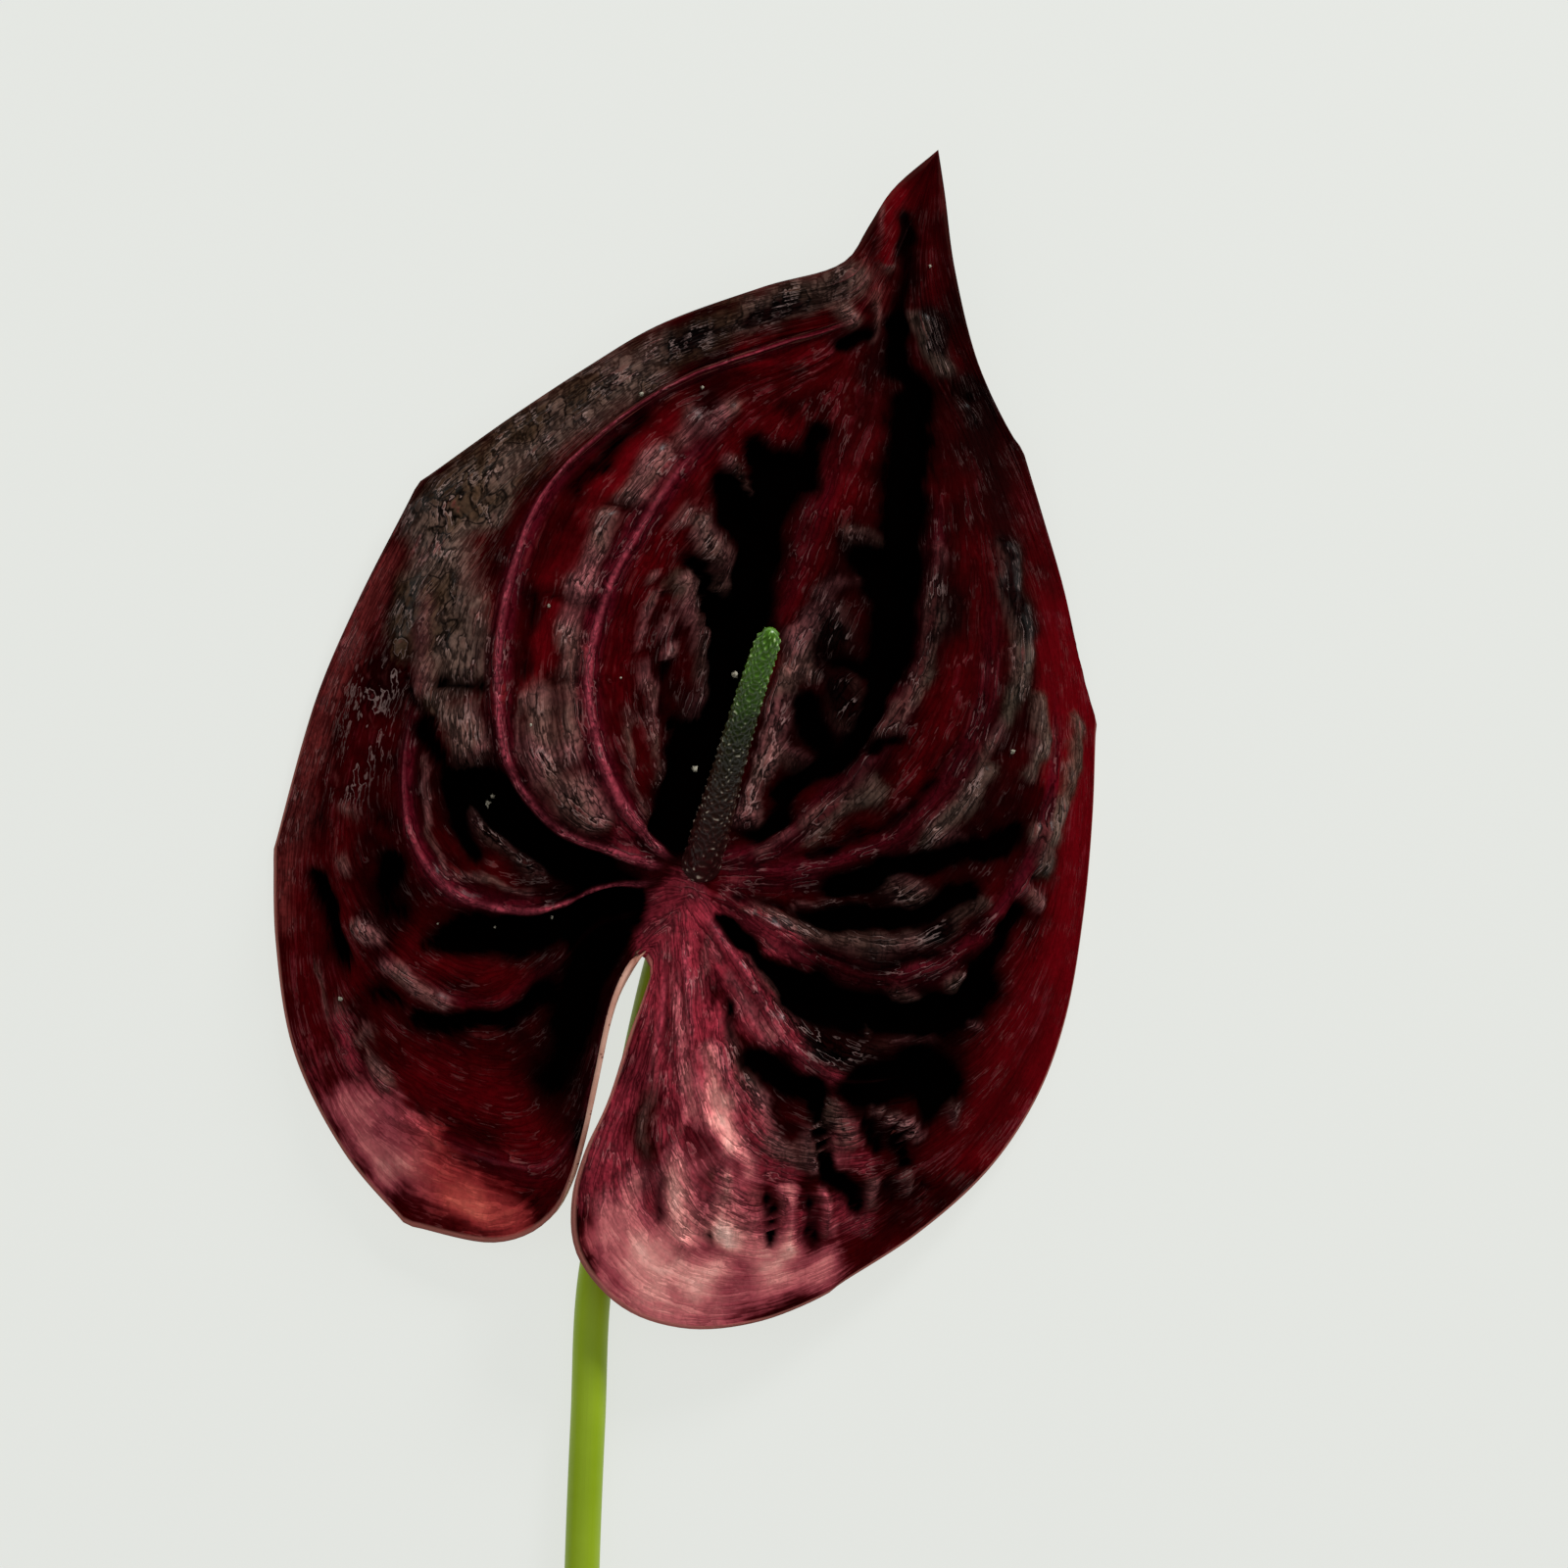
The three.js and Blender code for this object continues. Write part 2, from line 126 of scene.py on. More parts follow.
RIGHT_6 = [
    (678, 952, 11.9), (677, 1030, 13.8), (660, 1110, 15.5), (652, 1190, 15), (690, 1260, 12.5),
    (770, 1290, 10), (870, 1262, 7.5), (960, 1205, 5.5), (1030, 1125, 4), (1074, 1035, 2.8), (1100, 935, 2),
    (1111, 840, 1.7), (1114, 745, 2.2), (1094, 640, 3.6), (1064, 540, 5.6), (1031, 455, 8), (995, 375, 11),
    (970, 300, 13.5), (959, 240, 15.5), TIP]
RIGHT_MARGIN = [
    (658, 978, 11.1), (664, 990, 11.8), (657, 1015, 12.8), (642, 1056, 14.4), (620, 1124, 15.6),
    (597, 1175, 15.8), (584, 1225, 15.2), (589, 1281, 13), (635, 1335, 10.5), (700, 1357, 8.5),
    (775, 1350, 7.5), (846, 1321, 6.2), (856, 1313, 6.1), (935, 1262, 5), (1010, 1195, 3.5),
    (1060, 1120, 2.5), (1089, 1040, 1.8), (1108, 930, 1.1), (1117, 830, 0.8), (1120, 748, 0.9),
    (1121, 735, 1), (1117, 724, 1.2), (1105, 680, 1.8), (1087, 600, 3.2), (1065, 525, 5.2),
    (1046, 463, 7.5), (1044, 456, 7.7), (1040, 453, 7.8), (1000, 375, 11), (974, 275, 15),
    (964, 200, 16.5), TIP]
LINES = [
    LEFT_MARGIN, LEFT_5, LEFT_4, LEFT_3, LEFT_2, LEFT_1, MIDRIB,
    RIGHT_1, RIGHT_2, RIGHT_3, RIGHT_4, RIGHT_5, RIGHT_6, RIGHT_MARGIN]
LAST_LINE = len(LINES) - 1
# Each vein's height, the share of its line where it has faded out and its paleness, from the left. The pale
# crest is pink and partly a painted highlight.
VEINS = (
    (0, 1, 0), (0.3, 0.33, 0.5), (0.4, 0.28, 0.3), (1, 0.38, 1.1), (1, 0.86, 1.1), (1, 0.6, 1.1),
    (0.5, 0.62, 0.12), (0.85, 0.6, 0.35), (0.8, 0.52, 0.2), (1, 0.52, 0.22), (0.9, 0.27, 0.8),
    (0.8, 0.21, 0.9), (0.4, 0.15, 0.8), (0, 1, 0))

# The spathe's mesh: columns between neighbouring lines, crowded towards the veins, and rows. Every second
# line shares a UV map, which holds the way across from the nearest of them and the way along.
COLUMNS_IN_GAP = (16, 18, 22, 24, 24, 22, 24, 22, 22, 20, 14, 12, 12)
CROWDING = 0.09
ROWS = 180
SEAM_ROWS = 4
SEAM_EDGE = 5.0
BLADE_MAPS = ("even_lines", "odd_lines")
LINE_COLUMNS = [sum(COLUMNS_IN_GAP[:line]) for line in range(LAST_LINE + 1)]
MAP_STRETCH = 100.0

# Where each of these starts and where it is full, in shares of a line's length. ROLLED_ACROSS is in lines
# from the left margin, and CALM_MARGIN in millimetres from the nearest margin.
RELIEF_START = (0.01, 0.05)
RELIEF_END = (0.92, 0.99)
TIP_THINNED = (0.82, 0.89)
ROLLED_ACROSS = (1.0, 1.8)
ROLLED_ALONG = (0.12, 0.17)
CALM_MARGIN = (0.5, 4)
VEIN_START = (0.004, 0.04)
VEIN_FADE_BEFORE = 0.12
VEIN_FADE_PAST = 0.02
# A crest's paleness, partly a painted highlight, far from the foot as a share of that at the foot, and how
# much wider it is there
CREST_PALENESS_FAR = 0.55
CREST_WIDENING = 1.1

# Relief of the spathe, in millimetres
VEIN_RISE = 0.95
VEIN_HALF_WIDTH = 1.0
CREST_HALF_WIDTH = 0.48
FLANK_HALF_WIDTH = 1.3
FLANK_DISTANCE = 1.1
VALLEY_DEPTH = 0.55
VALLEY_DISTANCE = 2.3
VALLEY_HALF_WIDTH = 1.0
FULL_RELIEF_SPACING = 7.0
BRUSH_SPACING = 4.5
WRINKLE_RISE = 0.32
WRINKLE_WIDTH = 2.3
WRINKLE_LENGTH = 11.0
WRINKLE_DRIFT = 2.5
DRIFT_SIZE = 9

# Swellings of the blade, which also take the pads' painted sheen: the rise in millimetres, then the half
# width and the path in grid units
SWELLINGS = [
    # Between the first and second veins left of the midrib
    (1.6, 19, [(552, 712), (554, 780)]),
    (1.3, 10, [(586, 705), (585, 768)]),
    (1.7, 25, [(585, 812), (602, 824)]),
    (1.3, 12, [(580, 632), (586, 684)]),
    (1.7, 14, [(588, 604), (602, 568), (618, 532)]),
    (1.6, 15, [(648, 506), (674, 462)]),
    (1.1, 12, [(698, 444), (706, 424)]),
    (1.0, 13, [(726, 434), (748, 414)]),
    # Folds between the midrib and the first vein on the left
    (1.2, 5, [(668, 592), (655, 640), (651, 700)]),
    (1.3, 5, [(699, 596), (688, 636), (683, 672)]),
    (1.4, 12, [(705, 602), (720, 646), (723, 690), (714, 732)]),
    (1.0, 6, [(668, 694), (664, 740), (677, 792)]),
    (0.9, 5, [(640, 718), (644, 790), (664, 840)]),
    (1.8, 13, [(718, 530), (729, 560), (743, 596)]),
    (1.5, 8, [(745, 474), (763, 500), (776, 536)]),
    (0.8, 8, [(684, 532), (700, 520)]),
    # Right of the spadix
    (2.2, 11, [(806, 688), (794, 724), (784, 764), (770, 800), (760, 834)]),
    (1.5, 15, [(812, 650), (830, 686)]),
    (1.4, 20, [(842, 628), (852, 652)]),
    (1.3, 14, [(866, 698), (860, 736)]),
    (1.3, 12, [(808, 774), (822, 786)]),
    (1.1, 9, [(868, 546), (898, 550)]),
    (0.8, 7, [(836, 600), (880, 590)]),
    # Slopes below the first and second veins on the right
    (1.1, 10, [(905, 746), (932, 702), (950, 652), (958, 604), (958, 560)]),
    (1.0, 8, [(770, 868), (800, 852)]),
    (1.3, 11, [(826, 842), (856, 826), (888, 808)]),
    (0.8, 5, [(850, 828), (892, 776)]),
    (1.2, 11, [(956, 848), (985, 814), (1002, 788)]),
    (1.1, 9, [(1006, 768), (1020, 740)]),
    (1.4, 12, [(1036, 694), (1040, 650), (1032, 600), (1022, 560)]),
    (1.1, 8, [(1064, 716), (1065, 762)]),
    (0.9, 9, [(1056, 762), (1048, 794)]),
    (1.0, 9, [(962, 856), (982, 864)]),
    # Between the second and third veins on the right
    (1.9, 15, [(908, 900), (936, 912)]),
    (0.8, 4, [(806, 928), (840, 917), (868, 920), (888, 932)]),
    (1.4, 10, [(765, 926), (802, 946), (850, 963), (902, 968), (952, 955), (1002, 922)]),
    (1.3, 10, [(1064, 852), (1068, 880)]),
    (1.3, 8, [(1098, 738), (1096, 776), (1089, 804)]),
    (0.9, 8, [(1084, 826), (1074, 848)]),
    (1.0, 8, [(1050, 908), (1056, 924)]),
    # Below the third vein on the right
    (2.0, 10, [(914, 1010), (940, 1028)]),
    (2.0, 12, [(975, 1000), (980, 1020)]),
    (1.4, 6, [(866, 1028), (886, 1052)]),
    (1.2, 6, [(990, 1040), (996, 1046)]),
    (1.6, 14, [(764, 984), (800, 1030), (830, 1064), (862, 1076)]),
    (0.8, 9, [(880, 1070), (950, 1060)]),
    (2.0, 12, [(850, 1130), (861, 1164)]),
    (1.8, 8, [(896, 1130), (926, 1146)]),
    (1.5, 7, [(928, 1148), (940, 1156)]),
    (1.2, 8, [(968, 1128), (976, 1146)]),
    # Right lobe
    (2.0, 15, [(734, 1050), (745, 1100), (765, 1126)]),
    (1.6, 14, [(775, 1150), (800, 1180)]),
    (1.3, 11, [(820, 1160), (831, 1186)]),
    (1.1, 5, [(700, 950), (692, 1010), (696, 1060), (701, 1110), (698, 1160)]),
    (1.0, 5, [(724, 955), (708, 1010), (706, 1070), (713, 1120), (728, 1160)]),
    (0.9, 5, [(676, 990), (671, 1060), (668, 1110), (656, 1160)]),
    (1.2, 6, [(692, 1170), (686, 1220), (700, 1272)]),
    (1.2, 10, [(722, 1190), (736, 1202)]),
    (1.2, 9, [(718, 1222), (722, 1236)]),
    (1.3, 6, [(737, 1212), (737, 1262)]),
    (1.6, 13, [(760, 1222), (762, 1234)]),
    (1.4, 6, [(797, 1222), (806, 1268)]),
    (1.4, 6, [(840, 1218), (846, 1258)]),
    (1.2, 8, [(885, 1208), (882, 1228)]),
    (1.1, 8, [(925, 1204), (929, 1216)]),
    # Left lobe and the left margin
    (1.6, 11, [(370, 948), (380, 956)]),
    (1.3, 9, [(390, 988), (424, 1004), (452, 1022)]),
    (1.0, 8, [(350, 884), (353, 892)]),
    (0.9, 9, [(352, 828), (362, 836)]),
    (0.8, 8, [(345, 1024), (345, 1046)]),
    (0.9, 9, [(366, 1064), (380, 1054)]),
    (1.2, 10, [(384, 1084), (392, 1112)]),
    (0.7, 4, [(324, 990), (334, 1058), (356, 1098), (392, 1134), (436, 1152)]),
    # Between the second and third veins on the left
    (2.2, 19, [(476, 735), (482, 764)]),
    (1.9, 12, [(470, 800), (505, 850), (548, 886)]),
    (0.9, 5, [(432, 772), (432, 850), (462, 893), (540, 911)]),
    (1.1, 13, [(437, 598), (436, 702)]),
    (1.1, 17, [(480, 598), (486, 682)]),
    (1.0, 24, [(455, 520), (460, 562)]),
    (0.7, 4, [(533, 705), (526, 740), (530, 775), (545, 805), (563, 827), (585, 838), (610, 835)]),
    # Tip
    (1.2, 11, [(904, 214), (905, 272)]),
    (1.5, 13, [(861, 313), (866, 324)]),
    (1.0, 12, [(862, 284), (880, 288)]),
    (0.8, 6, [(896, 298), (893, 346)]),
    (1.4, 11, [(935, 324), (950, 350), (966, 376)]),
    (0.9, 6, [(980, 404), (992, 432)]),
]

# Hollows of the blade, with a depth instead of a rise. They are also painted near-black: dark pigment with
# painted shade.
HOLLOWS = [
    # Between the first and second veins left of the midrib
    (1.2, 12, [(546, 610), (534, 684)]),
    (0.9, 4, [(570, 700), (567, 760), (573, 796)]),
    (1.1, 7, [(560, 690), (592, 696)]),
    (1.2, 7, [(566, 612), (604, 618)]),
    (1.3, 9, [(626, 518), (642, 520)]),
    (1.4, 13, [(590, 500), (620, 462), (656, 426)]),
    (1.0, 11, [(574, 592), (590, 544)]),
    (1.1, 6, [(681, 446), (690, 466)]),
    # Left of the midrib
    (3.2, 15, [(744, 498), (758, 534)]),
    (2.6, 11, [(712, 580), (735, 620), (741, 676)]),
    (4.2, 22, [(792, 486), (777, 544), (768, 604), (748, 664), (734, 722), (707, 780), (690, 846)]),
    (2.4, 11, [(836, 440), (821, 492)]),
    (1.8, 8, [(774, 454), (783, 472)]),
    (1.3, 4, [(677, 602), (671, 664)]),
    (1.5, 5, [(678, 680), (679, 720), (690, 742)]),
    (0.8, 4, [(646, 620), (646, 704)]),
    # Right of the midrib
    (3.6, 22, [(932, 424), (922, 480), (914, 546), (915, 604), (905, 664)]),
    (2.8, 14, [(872, 566), (900, 590)]),
    (1.8, 10, [(846, 672), (872, 681)]),
    (2.6, 16, [(818, 718), (826, 746)]),
    (3.0, 14, [(800, 812), (830, 782), (862, 764), (880, 730), (900, 690)]),
    (2.4, 12, [(766, 850), (790, 836)]),
    (1.8, 9, [(894, 766), (914, 755)]),
    (1.3, 7, [(830, 870), (880, 852), (925, 829), (950, 804)]),
    (1.2, 7, [(1010, 776), (1020, 768)]),
    # Between the second and third veins on the right
    (3.2, 13, [(850, 904), (892, 900)]),
    (3.6, 12, [(838, 940), (900, 942), (950, 926), (992, 912)]),
    (2.8, 12, [(900, 884), (960, 876), (1034, 856)]),
    (1.4, 6, [(752, 914), (792, 926), (820, 936)]),
    (1.1, 5, [(800, 964), (850, 980), (906, 984), (962, 970), (1004, 942)]),
    (1.2, 8, [(1058, 894), (1070, 888)]),
    # Below the third vein on the right
    (2.8, 8, [(738, 938), (760, 964), (792, 994), (832, 1010)]),
    (4.2, 21, [(806, 1012), (850, 1028), (900, 1036), (960, 1036), (1000, 1012)]),
    (2.0, 11, [(1000, 984), (1040, 930)]),
    (2.2, 7, [(742, 1028), (750, 1060)]),
    (3.2, 13, [(766, 1084), (796, 1100), (834, 1112)]),
    (3.8, 19, [(882, 1112), (900, 1108), (944, 1090), (964, 1112)]),
    (2.8, 8, [(836, 1130), (842, 1164), (849, 1202)]),
    (2.0, 8, [(885, 1150), (893, 1172)]),
    (2.4, 8, [(914, 1162), (923, 1188)]),
    (2.4, 8, [(862, 1206), (872, 1232)]),
    (2.0, 9, [(950, 1140), (952, 1112)]),
    # Right lobe
    (1.4, 4, [(752, 1126), (772, 1152)]),
    (0.9, 4, [(684, 980), (680, 1050), (686, 1104)]),
    (1.0, 11, [(662, 1126), (652, 1170), (656, 1216)]),
    (1.3, 5, [(680, 1200), (673, 1242)]),
    (1.6, 5, [(724, 1240), (728, 1270)]),
    (2.2, 6, [(782, 1222), (788, 1264)]),
    (2.0, 6, [(825, 1226), (833, 1264)]),
    (1.4, 5, [(905, 1210), (907, 1226)]),
    (1.1, 5, [(945, 1204), (951, 1216)]),
    # Left lobe
    (3.4, 19, [(470, 952), (540, 956), (596, 932), (640, 910)]),
    (4.0, 26, [(622, 936), (603, 1000), (588, 1060), (574, 1106)]),
    (2.6, 10, [(424, 1040), (470, 1046), (522, 1042), (556, 1016)]),
    (1.3, 8, [(440, 966), (482, 958)]),
    (2.6, 12, [(396, 902), (402, 876)]),
    (1.8, 9, [(398, 926), (412, 930)]),
    (1.4, 8, [(384, 830), (394, 838)]),
    (2.2, 9, [(324, 898), (334, 950), (348, 984)]),
    (1.8, 8, [(382, 1014), (402, 1020)]),
    (0.9, 4, [(431, 1118), (434, 1170)]),
    # Between the second and third veins on the left
    (5.5, 22, [(478, 802), (512, 824), (545, 858), (600, 884)]),
    (2.6, 7, [(455, 790), (470, 838), (486, 876)]),
    (2.2, 9, [(430, 744), (446, 770)]),
    (1.6, 5, [(450, 700), (492, 704)]),
    (1.4, 4, [(410, 690), (425, 718), (446, 742)]),
    (1.0, 5, [(452, 638), (450, 702)]),
    (0.9, 5, [(465, 600), (468, 642)]),
    # Tip
    (1.3, 10, [(924, 226), (922, 280), (914, 330)]),
    (2.4, 11, [(914, 330), (914, 376), (938, 402)]),
    (1.0, 6, [(888, 246), (889, 290)]),
    (2.0, 10, [(860, 353), (882, 339)]),
    (1.4, 8, [(974, 400), (994, 405)]),
]
# The rise and the depth at which the swellings' painted sheen and the hollows' painted shade are full
FULL_SWELLING = 1.5
FULL_HOLLOW = 2.4

# Paints, each with a strength, a half width and a path. First the deep red fields.
CRIMSON = [
    (1.1, 34, [(1086, 610), (1102, 760), (1108, 860), (1098, 960), (1072, 1060), (1012, 1160)]),
    (0.45, 44, [(1000, 950), (1030, 1040), (960, 1180)]),
    (0.45, 34, [(1000, 560), (1000, 640), (975, 720), (935, 785)]),
    (0.75, 22, [(545, 700), (570, 600), (600, 545), (625, 480), (690, 428)]),
    (0.45, 34, [(630, 700), (655, 600), (700, 500), (800, 440)]),
    (0.55, 22, [(800, 620), (850, 520), (885, 450)]),
    (0.55, 46, [(430, 1100), (530, 1130), (565, 1200)]),
    (0.45, 30, [(420, 975), (520, 1000)]),
    (0.45, 26, [(350, 830), (335, 900), (360, 1000)]),
    (1.2, 16, [(912, 200), (904, 262)]),
    (0.45, 24, [(950, 190), (958, 300), (1010, 430), (1060, 560)]),
    (0.5, 20, [(760, 372), (830, 350)]),
    (0.5, 20, [(300, 860), (300, 960), (320, 1060)]),
    (0.6, 16, [(1070, 620), (1080, 720), (1078, 800)]),
]
# Pinkish-red ribs and folds
ROSE = [
    (1.0, 24, [(696, 912), (692, 1000), (704, 1080)]),
    (0.9, 24, [(660, 930), (672, 1010)]),
    (0.5, 20, [(668, 1030), (640, 1120)]),
    (1.0, 16, [(744, 976), (768, 1016), (800, 1056), (846, 1094)]),
    (1.0, 17, [(712, 1050), (728, 1120), (748, 1166), (796, 1196)]),
    (0.7, 24, [(625, 1130), (605, 1220)]),
    (0.7, 16, [(735, 1040), (742, 1110), (776, 1150)]),
    (0.4, 16, [(314, 1070), (330, 1120)]),
    (0.7, 14, [(344, 1046), (358, 1090)]),
    (0.8, 16, [(742, 986), (764, 1020), (792, 1060)]),
    (0.6, 14, [(632, 848), (648, 864)]),
    (0.5, 13, [(800, 970), (816, 982)]),
    (0.8, 14, [(700, 910), (750, 940), (800, 964)]),
    (0.9, 28, [(624, 1200), (660, 1215), (736, 1230)]),
    (0.7, 22, [(690, 1100), (690, 1170), (700, 1240), (800, 1250), (870, 1240)]),
    (0.5, 14, [(860, 1130), (880, 1190)]),
]
# Salmon ends of the lobes
SALMON = [
    (0.42, 24, [(348, 1130), (364, 1154), (396, 1190)]),
    (0.24, 16, [(376, 1100), (380, 1130)]),
    (0.26, 16, [(400, 1130), (440, 1160)]),
    (0.40, 28, [(424, 1192), (452, 1206), (486, 1230), (520, 1246)]),
    (0.54, 22, [(656, 1272), (684, 1292), (720, 1312)]),
    (0.42, 34, [(646, 1304), (662, 1330), (684, 1340)]),
    (0.2, 20, [(712, 1144), (760, 1192), (760, 1240)]),
    (0.18, 24, [(640, 1216), (640, 1264), (662, 1336)]),
    (0.16, 14, [(688, 1204), (688, 1230)]),
    (0.2, 12, [(756, 1222), (768, 1240)]),
    (0.15, 16, [(470, 1210), (490, 1222)]),
    (0.35, 14, [(464, 1236), (480, 1244)]),
    (0.25, 18, [(716, 1110), (736, 1126)]),
    (0.14, 12, [(612, 1306), (622, 1322)]),
    (0.2, 16, [(370, 1184), (384, 1200)]),
    (0.26, 34, [(720, 1340), (776, 1322)]),
    (0.3, 12, [(736, 1296), (748, 1304)]),
    (0.36, 20, [(790, 1308), (836, 1306)]),
    (0.56, 20, [(690, 1250), (736, 1264), (790, 1282)]),
    (0.58, 14, [(688, 1184), (690, 1222)]),
    (0.30, 14, [(712, 1190), (714, 1226)]),
    (0.28, 14, [(812, 1272), (836, 1286)]),
    (0.38, 20, [(610, 1268), (622, 1240), (646, 1214)]),
    (0.6, 15, [(722, 1070), (732, 1112), (738, 1140)]),
    (0.34, 10, [(740, 1150), (740, 1176)]),
    (0.45, 12, [(750, 1158), (768, 1196)]),
    (0.44, 8, [(700, 1090), (706, 1140)]),
    (0.38, 12, [(728, 976), (758, 1012), (786, 1056)]),
    (0.34, 10, [(852, 1158), (862, 1182)]),
    (0.35, 7, [(690, 990), (700, 1080)]),
    (0.55, 8, [(738, 1200), (740, 1262)]),
    (0.50, 8, [(800, 1215), (808, 1270)]),
    (0.40, 8, [(842, 1215), (850, 1258)]),
]
# Painted highlights in pale lines on the wrinkles
HIGHLIGHT_WEB = [
    (0.45, 26, [(372, 700), (368, 770), (352, 800)]),
    (0.3, 16, [(420, 640), (400, 700)]),
    (0.28, 9, [(800, 700), (784, 764), (766, 812)]),
]
# Olive-brown leather, lightened by painted sheen
OLIVE = [
    (1.0, 34, [(440, 540), (465, 620), (468, 680)]),
    (1.0, 34, [(470, 505), (555, 435), (650, 378)]),
    (0.9, 20, [(690, 352), (780, 316), (866, 284)]),
    (0.8, 16, [(470, 526), (504, 516)]),
    (0.8, 16, [(412, 600), (412, 670)]),
    (0.6, 16, [(440, 720), (480, 745)]),
    (0.5, 14, [(660, 1120), (655, 1200)]),
    (0.4, 12, [(720, 1190), (722, 1236)]),
]
# Olive-green pads lightened by painted sheen
OLIVE_SHEEN = [
    (0.3, 22, [(850, 630), (862, 740)]),
    (0.6, 14, [(870, 545), (900, 552)]),
    (1.0, 10, [(900, 752), (945, 684), (957, 610)]),
    (0.9, 16, [(826, 846), (890, 808)]),
    (1.0, 13, [(1024, 560), (1036, 600), (1042, 680), (1026, 735)]),
    (1.0, 10, [(1064, 712), (1064, 765), (1048, 792)]),
    (0.9, 14, [(950, 852), (984, 822), (1006, 786)]),
    (0.9, 16, [(906, 900), (940, 915)]),
    (0.7, 12, [(800, 945), (900, 965), (960, 950), (1000, 922)]),
    (1.0, 10, [(1100, 736), (1096, 780), (1086, 810), (1070, 850)]),
    (1.0, 12, [(1064, 850), (1068, 884)]),
    (0.9, 13, [(936, 326), (966, 376)]),
    (0.8, 12, [(914, 1010), (942, 1028)]),
    (0.8, 12, [(975, 1000), (980, 1020)]),
    (0.8, 14, [(850, 1130), (861, 1164)]),
    (0.5, 9, [(896, 1130), (930, 1150)]),
    (0.6, 16, [(690, 600), (745, 595), (720, 540)]),
    (0.5, 14, [(476, 735), (480, 752)]),
    (0.5, 14, [(370, 948), (380, 956)]),
]
# Dull red beside the margins
DUSK = [
    (0.9, 20, [(392, 570), (340, 690), (306, 800), (288, 900), (284, 940)]),
    (0.4, 16, [(314, 1070), (334, 1120)]),
    (0.5, 14, [(880, 262), (900, 300)]),
]
# Painted shade: a near-black ground between the pads
PAINTED_SHADE = [
    (0.9, 14, [(690, 350), (784, 322), (862, 288)]),
    (0.8, 16, [(850, 662), (858, 716)]),
    (0.8, 12, [(946, 958), (1000, 930)]),
    (0.7, 13, [(1022, 556), (1046, 644)]),
    (0.7, 20, [(962, 236), (980, 320)]),
    (0.5, 26, [(1000, 420), (1030, 520)]),
    (0.6, 16, [(900, 360), (868, 470)]),
    (0.9, 20, [(964, 580), (968, 640)]),
    (0.5, 14, [(846, 626), (856, 650)]),
    (0.35, 22, [(1064, 1010), (1050, 1070)]),
    (0.35, 14, [(796, 1170), (808, 1190)]),
    (0.5, 14, [(948, 320), (956, 340)]),
    (0.5, 13, [(1070, 584), (1074, 604)]),
    (0.5, 13, [(1068, 872), (1076, 892)]),
    (0.5, 14, [(894, 974), (914, 978)]),
    (0.4, 14, [(416, 516), (430, 522)]),
    (0.35, 14, [(394, 1186), (404, 1200)]),
    (0.3, 13, [(804, 1210), (814, 1222)]),
    (0.4, 40, [(1000, 1090), (940, 1180)]),
    (0.6, 52, [(985, 380), (1030, 560), (1034, 700), (985, 850), (880, 960), (846, 1072)]),
    (0.7, 30, [(850, 560), (858, 640), (862, 720), (880, 810)]),
    (0.6, 12, [(586, 1096), (594, 1136), (590, 1170)]),
    (0.5, 12, [(760, 1088), (764, 1104)]),
    (0.5, 18, [(416, 534), (440, 500)]),
    (0.4, 26, [(560, 450), (640, 378), (710, 350)]),
    (0.6, 14, [(396, 700), (404, 724)]),
    (0.5, 16, [(414, 620), (428, 660)]),
    (0.7, 16, [(800, 744), (812, 776)]),
    (0.7, 16, [(870, 1140), (888, 1148)]),
    (0.5, 16, [(496, 730), (502, 776)]),
    (0.8, 18, [(514, 842), (530, 868), (552, 888)]),
    (0.7, 18, [(846, 1068), (894, 1076)]),
    (0.6, 16, [(944, 314), (960, 350)]),
    (0.5, 14, [(704, 512), (720, 530)]),
    (0.5, 20, [(300, 820), (306, 850)]),
    (0.6, 14, [(776, 326), (800, 310)]),
    (0.6, 18, [(990, 388), (1006, 416)]),
    (0.9, 9, [(920, 220), (926, 250), (932, 288)]),
    (0.9, 7, [(924, 224), (912, 264)]),
    (0.3, 16, [(664, 448), (712, 424)]),
    (0.4, 20, [(1034, 1116), (1010, 1160)]),
    (0.6, 14, [(490, 650), (500, 684)]),
    (0.5, 12, [(462, 712), (482, 712)]),
    (0.6, 13, [(950, 650), (950, 680)]),
    (0.5, 12, [(828, 656), (836, 676)]),
    (0.5, 14, [(944, 946), (962, 950)]),
    (0.5, 14, [(560, 700), (572, 726)]),
    (0.6, 14, [(826, 1040), (836, 1056)]),
    (0.6, 14, [(822, 1160), (840, 1178)]),
    (0.6, 10, [(734, 1182), (738, 1222)]),
    (0.7, 14, [(588, 1150), (592, 1200), (566, 1222)]),
    (0.4, 14, [(664, 1204), (664, 1220)]),
    (0.5, 14, [(612, 512), (622, 540)]),
    (0.5, 12, [(704, 418), (722, 440)]),
]
# A soft shadow round every hollow
SHADOW_STRENGTH = 0.34
SHADOW_WIDTH = 1.6
SHADOWS = [
    (SHADOW_STRENGTH * depth, SHADOW_WIDTH * half_width, path) for depth, half_width, path in HOLLOWS]
PAINTS = {
    "swelling": SWELLINGS, "hollow": HOLLOWS, "crimson": CRIMSON, "rose": ROSE, "salmon": SALMON,
    "olive": OLIVE, "olive_sheen": OLIVE_SHEEN, "dusk": DUSK, "highlight_web": HIGHLIGHT_WEB, "painted_shade": PAINTED_SHADE, "shadow": SHADOWS}
MARKS = ("crest", "flank", "edge", "odd", *PAINTS)
# Brushes are looked up by square cells of the sketch grid, and reach so many half widths
BRUSH_CELL = 40
BRUSH_REACH = 2.2
BRUSH_POWERS = {"swelling": 2.5}
